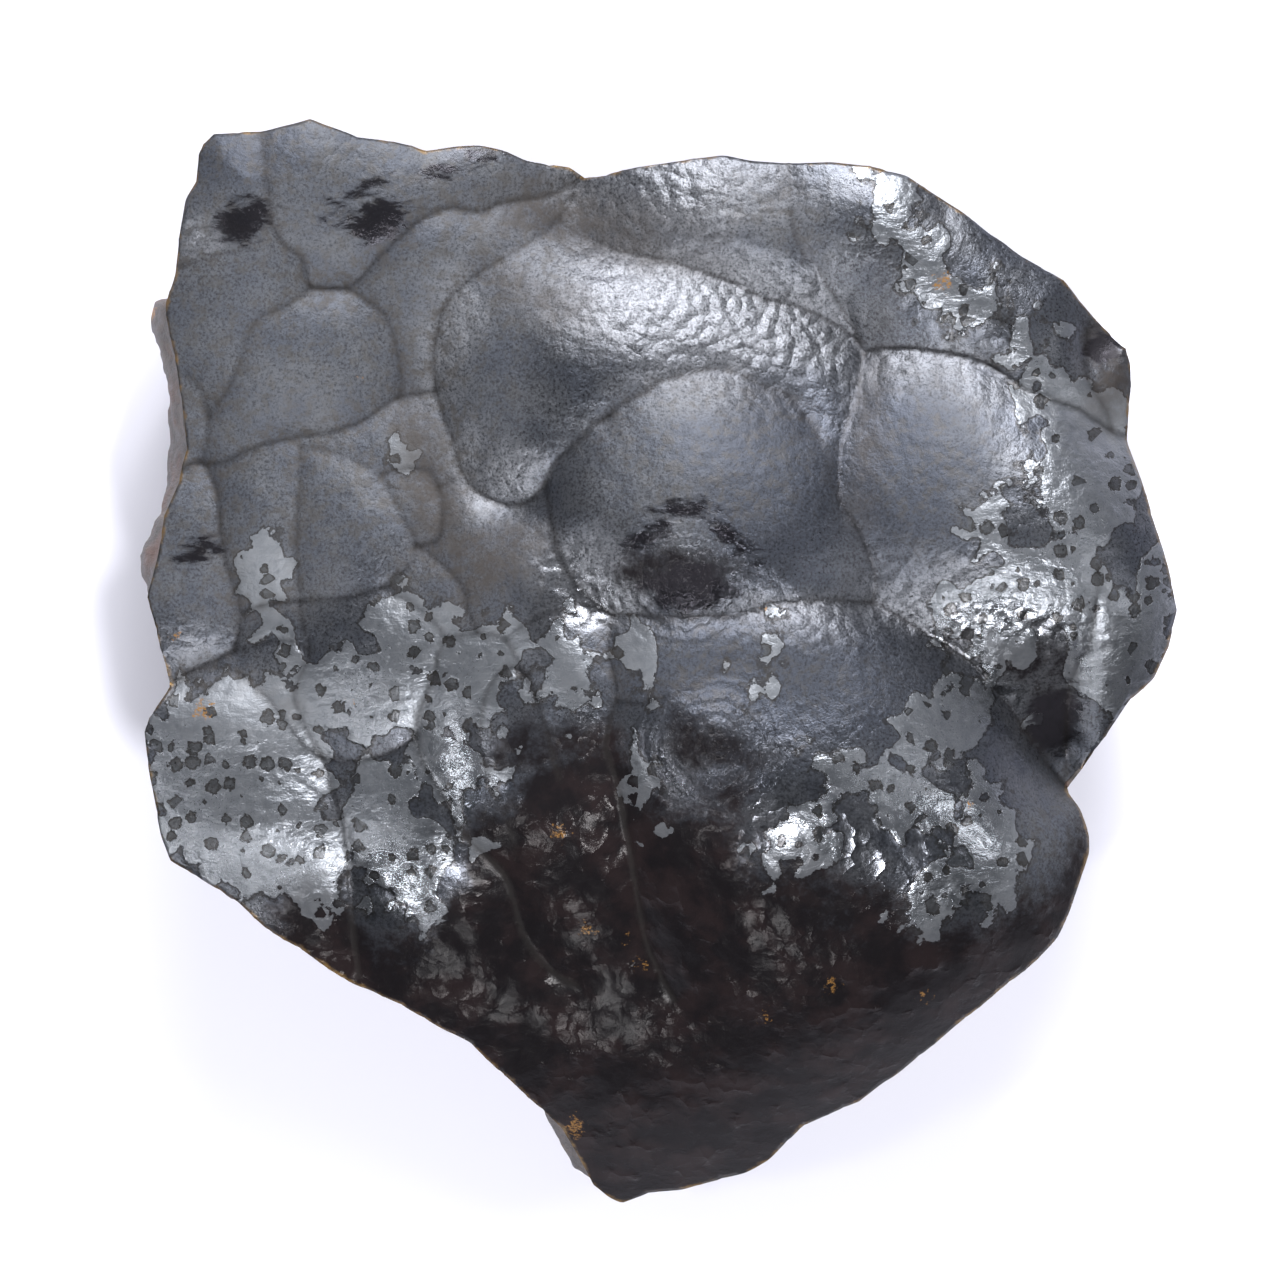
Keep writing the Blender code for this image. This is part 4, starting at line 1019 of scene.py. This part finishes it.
# A darker, browner band beside the creases, and dust with painted shade in the valleys
beside = times(tree, read(tree, "near_crease"), span(tree, cloud, 0.3, 0.75, 0.0, 0.6))
beside = times(tree, beside, span(tree, dull, 0.0, 1.0, 0.25, 1.0))
beside = times(tree, beside, less(tree, 1.0, darkened))
dust_and_shade_mask = maths(tree, "MAXIMUM", times(tree, read(tree, "dust_and_shade"), span(tree, cloud, 0.15, 0.60)), beside)
colour = blend(tree, times(tree, dust_and_shade_mask, DUST_AND_SHADE_SHARE), colour, DUST_AND_SHADE_BROWN)
# Painted reflection: the worn crests painted near black, as the dark camera above shows in them
colour = blend(tree, times(tree, worn_and_reflection_share, CREST_REFLECTION_SHARE), colour, PAINTED_CREST_REFLECTION)
# Painted shade: a thin dark line along each crease
colour = blend(tree, times(tree, crease, CREASE_SHADE_SHARE), colour, PAINTED_CREASE_SHADE)
rim_place = maths(tree, "ADD", read(tree, "rim"), times(tree, cloud, 0.8))
rim_colour = blend(tree, span(tree, mottle, 0.42, 0.52), RIM_DARK, RIM_OCHRE)
colour = blend(tree, span(tree, rim_place, *RIM_WIDTH, RIM_SHARE, 0.0), colour, rim_colour)
rusty = rust_of(tree, 2.6, 3.0, 1.0)
colour = blend(tree, rusty, colour, SKIN_RUST)

# Sheen: satin on the bare skin and the film, polished where glossy, worn or brown, flat where dusty
BARE_ROUGH = (0.27, 0.36)
DULL_ROUGH = (0.46, 0.58)
FILM_ROUGH = (0.27, 0.37)
DULL_FILM_ROUGH = 0.48
RIPPLE_ROUGHER = 0.03
GLOSS_ROUGH = (0.16, 0.27)
BROWN_ROUGH = (0.12, 0.22)
DARK_CREASE_ROUGH = 0.60
WORN_ROUGH = 0.15
DUST_ROUGH = 0.62
bare_rough = span(tree, grain, *NOISE_RANGE, *BARE_ROUGH)
rough = number_blend(tree, dull, bare_rough, span(tree, grain, *NOISE_RANGE, *DULL_ROUGH))
film_rough = number_blend(tree, dull, span(tree, fine, *NOISE_RANGE, *FILM_ROUGH), DULL_FILM_ROUGH)
rough = number_blend(tree, filmed, rough, film_rough)
rough = number_blend(tree, ripple_and_highlight, rough, maths(tree, "ADD", rough, RIPPLE_ROUGHER))
rough = number_blend(tree, glossy, rough, span(tree, cloud, *NOISE_RANGE, *GLOSS_ROUGH))
rough = number_blend(tree, browned, rough, span(tree, cloud, *NOISE_RANGE, *BROWN_ROUGH))
rough = number_blend(tree, times(tree, darkened, crease), rough, DARK_CREASE_ROUGH)
rough = number_blend(tree, worn_and_reflection_share, rough, WORN_ROUGH)
rough = number_blend(tree, dust_and_shade_mask, rough, DUST_ROUGH)

# How metallic it is
BARE_METAL = 0.9
DULL_METAL = 0.6
DARK_METAL = 0.08
DUST_METAL = 0.3
metal = number_blend(tree, dull, BARE_METAL, DULL_METAL)
metal = number_blend(tree, darkened, metal, DARK_METAL)
metal = number_blend(tree, dust_and_shade_mask, metal, DUST_METAL)
metal = number_blend(tree, rusty, metal, 0.0)

# Small relief in millimetres: grain, dents, streaks in the film, rings round two crests, beads and pits
GRAIN_HEIGHT = (0.024, 0.050)
GLOSS_GRAIN_SHARE = 0.25
FILM_GLOSS = 0.4
FINE_HEIGHT = 0.003
DENT_HEIGHT = (0.05, 0.02)
FILM_HEIGHT = 0.03
STREAK_HEIGHT = 0.06
RINGS = 7.0
RING_WANDER = 8.0
RING_RANGE = (2.5, 6.0)
RING_HEIGHT = 0.036
BEADS_PER_MM = 1.1
BEAD_WANDER = (0.8, 0.6)
BEAD_HEIGHT = (-0.035, -0.12)
PIT_SHARE = (1.2, 3.0)
SWELL_SHARE = 0.8
UNEVEN_HEIGHT = (0.030, 0.040)
FILM_UNEVEN = 0.3
smooth_share = maths(tree, "MAXIMUM", times(tree, filmed, FILM_GLOSS), glossy)
heights = times(tree, grain, span(tree, ripple_and_highlight, 0.0, 1.0, *GRAIN_HEIGHT))
heights = times(tree, heights, span(tree, smooth_share, 0.0, 1.0, 1.0, GLOSS_GRAIN_SHARE))
heights = times_add(tree, fine, FINE_HEIGHT, heights)
heights = times_add(tree, dent, span(tree, glossy, 0.0, 1.0, *DENT_HEIGHT), heights)
heights = times_add(tree, filmed, times_add(tree, streak, STREAK_HEIGHT, FILM_HEIGHT), heights)
ring = read(tree, "ring")
ring_wave = maths(tree, "SINE", times_add(tree, ring, RINGS, times(tree, cloud, RING_WANDER)))
ring_wave = times(tree, ring_wave, span(tree, ring, *RING_RANGE, 1.0, 0.0))
heights = times_add(tree, ring_wave, RING_HEIGHT, heights)
bead = cell_pattern(tree, warped_places(tree, where, *BEAD_WANDER), BEADS_PER_MM).outputs["Distance"]
heights = times_add(tree, bead, span(tree, ripple_and_highlight, 0.0, 1.0, *BEAD_HEIGHT), heights)
pits = times(tree, times(tree, bead, bead), span(tree, mottle, 0.42, 0.62, *PIT_SHARE))
uneven = times_add(tree, speckle(tree, where, 0.7, 1.0), SWELL_SHARE, pits)
uneven = times(tree, uneven, span(tree, filmed, 0.0, 1.0, 1.0, FILM_UNEVEN))
uneven = times(tree, uneven, span(tree, darkened, 0.0, 1.0, *UNEVEN_HEIGHT))
heights = times_add(tree, uneven, glossy, heights)
SKIN_IOR = 1.15
shader = link_shader(tree, heights, Base_Color=colour, Roughness=rough, Metallic=metal)
shader.inputs["IOR"].default_value = SKIN_IOR

# Broken ore: grey and red-brown, in fibres drawn out downwards, with some ochre and rust
FIBRE_STRETCH = (1, 1, 0.15)
FIBRE_NOISE = (1.6, 5.0, 0.65)
STAIN_NOISE = (0.22, 4.0, 0.6)
ORE_CRYSTALS = 5.0
ORE_DARK = (0.034, 0.030, 0.028, 1)
ORE_PALE = (0.115, 0.098, 0.090, 1)
ORE_RED = (0.13, 0.066, 0.048, 1)
ORE_OCHRE = (0.26, 0.15, 0.06, 1)
ORE_RUST = (0.34, 0.16, 0.035, 1)
ORE_ROUGH = (0.5, 0.72)
ORE_METAL = 0.25
ORE_FIBRE_HEIGHT = 0.30
ORE_GRAIN_HEIGHT = 0.05
broken_ore = stone_mesh.materials[1]
broken_ore.use_nodes = True
tree = broken_ore.node_tree
fibre = speckle(tree, in_millimetres(tree, FIBRE_STRETCH), *FIBRE_NOISE)
stain = speckle(tree, in_millimetres(tree), *STAIN_NOISE)
colour = blend(tree, span(tree, fibre, *NOISE_RANGE), ORE_DARK, ORE_PALE)
colour = blend(tree, span(tree, stain, 0.48, 0.66, 0.0, 0.6), colour, ORE_RED)
ochre_share = times(tree, span(tree, stain, 0.36, 0.30), span(tree, fibre, 0.4, 0.6))
colour = blend(tree, ochre_share, colour, ORE_OCHRE)
colour = blend(tree, rust_of(tree, 4.0, 1.2, 0.3), colour, ORE_RUST)
ore_grain = times(tree, grain_of(tree, ORE_CRYSTALS), ORE_GRAIN_HEIGHT)
heights = times_add(tree, fibre, ORE_FIBRE_HEIGHT, ore_grain)
ore_rough = span(tree, fibre, *NOISE_RANGE, *ORE_ROUGH)
shader = link_shader(tree, heights, Base_Color=colour, Roughness=ore_rough)
shader.inputs["Metallic"].default_value = ORE_METAL

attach(stone, "root")
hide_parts("hematite")


# The table: a plain pale sheet of matt card that the stone lies on, with no edge in sight. It stands in for
# the pale surface of the photo and is no part of the stone.
FLOOR_SIZE = 6.0
FLOOR_PALE = (0.66, 0.66, 0.74, 1)
FLOOR_ROUGH = 0.9
FLOOR_SHINE = 0.1
bpy.ops.mesh.primitive_plane_add(size=FLOOR_SIZE)
floor = bpy.context.active_object
floor.name = "floor"
pale_floor = bpy.data.materials.new("pale_floor")
pale_floor.use_nodes = True
shader = pale_floor.node_tree.nodes["Principled BSDF"]
shader.inputs["Base Color"].default_value = FLOOR_PALE
shader.inputs["Roughness"].default_value = FLOOR_ROUGH
shader.inputs["Specular IOR Level"].default_value = FLOOR_SHINE
floor.data.materials.append(pale_floor)


# The light: soft round lamps on all sides, each with its place and width in metres and its power, in a soft
# pale surround that is darker towards the near side and straight above
LAMPS = {
    "far": ((0.08, 0.38, 0.29), 0.17, 2.7),
    "far_low": ((-0.02, 0.47, 0.19), 0.16, 2.2),
    "left": ((-0.33, -0.06, 0.37), 0.07, 0.42),
    "right": ((0.38, 0.02, 0.33), 0.09, 0.35),
    "near_left": ((-0.20, -0.27, 0.37), 0.05, 0.55),
    "near_right": ((0.060, -0.195, 0.46), 0.06, 2.0),
    "near": ((-0.06, -0.44, 0.22), 0.06, 0.50),
}
for name, (place, width, power) in LAMPS.items():
    bpy.ops.object.light_add(type="AREA", location=place)
    lamp = bpy.context.active_object
    lamp.name = f"lamp_{name}"
    lamp.data.shape = "DISK"
    lamp.data.size = width
    lamp.data.energy = power
    lamp.rotation_euler = (-Vector(place)).to_track_quat("-Z", "Y").to_euler()
    lamp.visible_camera = False

SURROUND_PALE = (0.93, 0.95, 1.0, 1)
NEAR_TO_FAR = (-0.85, 0.20)
NEAR_STRENGTH = 0.08
FAR_STRENGTH = 0.46
OVERHEAD = (0.955, 0.985)
OVERHEAD_SHARE = 0.25
surround = bpy.data.worlds.new("surround")
bpy.context.scene.world = surround
surround.use_nodes = True
tree = surround.node_tree
facing = add(tree, "ShaderNodeTexCoord").outputs["Generated"]
direction = add(tree, "ShaderNodeSeparateXYZ", {0: facing}).outputs
strength = number_blend(tree, span(tree, direction["Y"], *NEAR_TO_FAR), NEAR_STRENGTH, FAR_STRENGTH)
strength = times(tree, strength, span(tree, direction["Z"], *OVERHEAD, 1.0, OVERHEAD_SHARE))
background = tree.nodes["Background"]
background.inputs["Color"].default_value = SURROUND_PALE
tree.links.new(strength, background.inputs["Strength"])


# The camera: straight above the stone as in the photo, with a long lens for little perspective. The frame
# covers the whole photograph, 1280 pixels across, at the height of the stone's rim.
PHOTO_PIXELS = 1280
LENS = 400.0
SENSOR = 36.0
RIM_HEIGHT = 0.015
CLIP_END = 10
middle_x, middle_y = on_stone(PHOTO_PIXELS / 2, PHOTO_PIXELS / 2)
distance = PHOTO_PIXELS * MM_PER_PIXEL * METRES_PER_MM * LENS / SENSOR
camera = bpy.data.objects.new("camera", bpy.data.cameras.new("camera"))
bpy.context.scene.collection.objects.link(camera)
camera.data.lens = LENS
camera.data.sensor_width = SENSOR
camera.data.clip_end = CLIP_END
camera.location = (middle_x * METRES_PER_MM, middle_y * METRES_PER_MM, RIM_HEIGHT + distance)
bpy.context.scene.camera = camera
bpy.context.scene.view_settings.view_transform = "Standard"
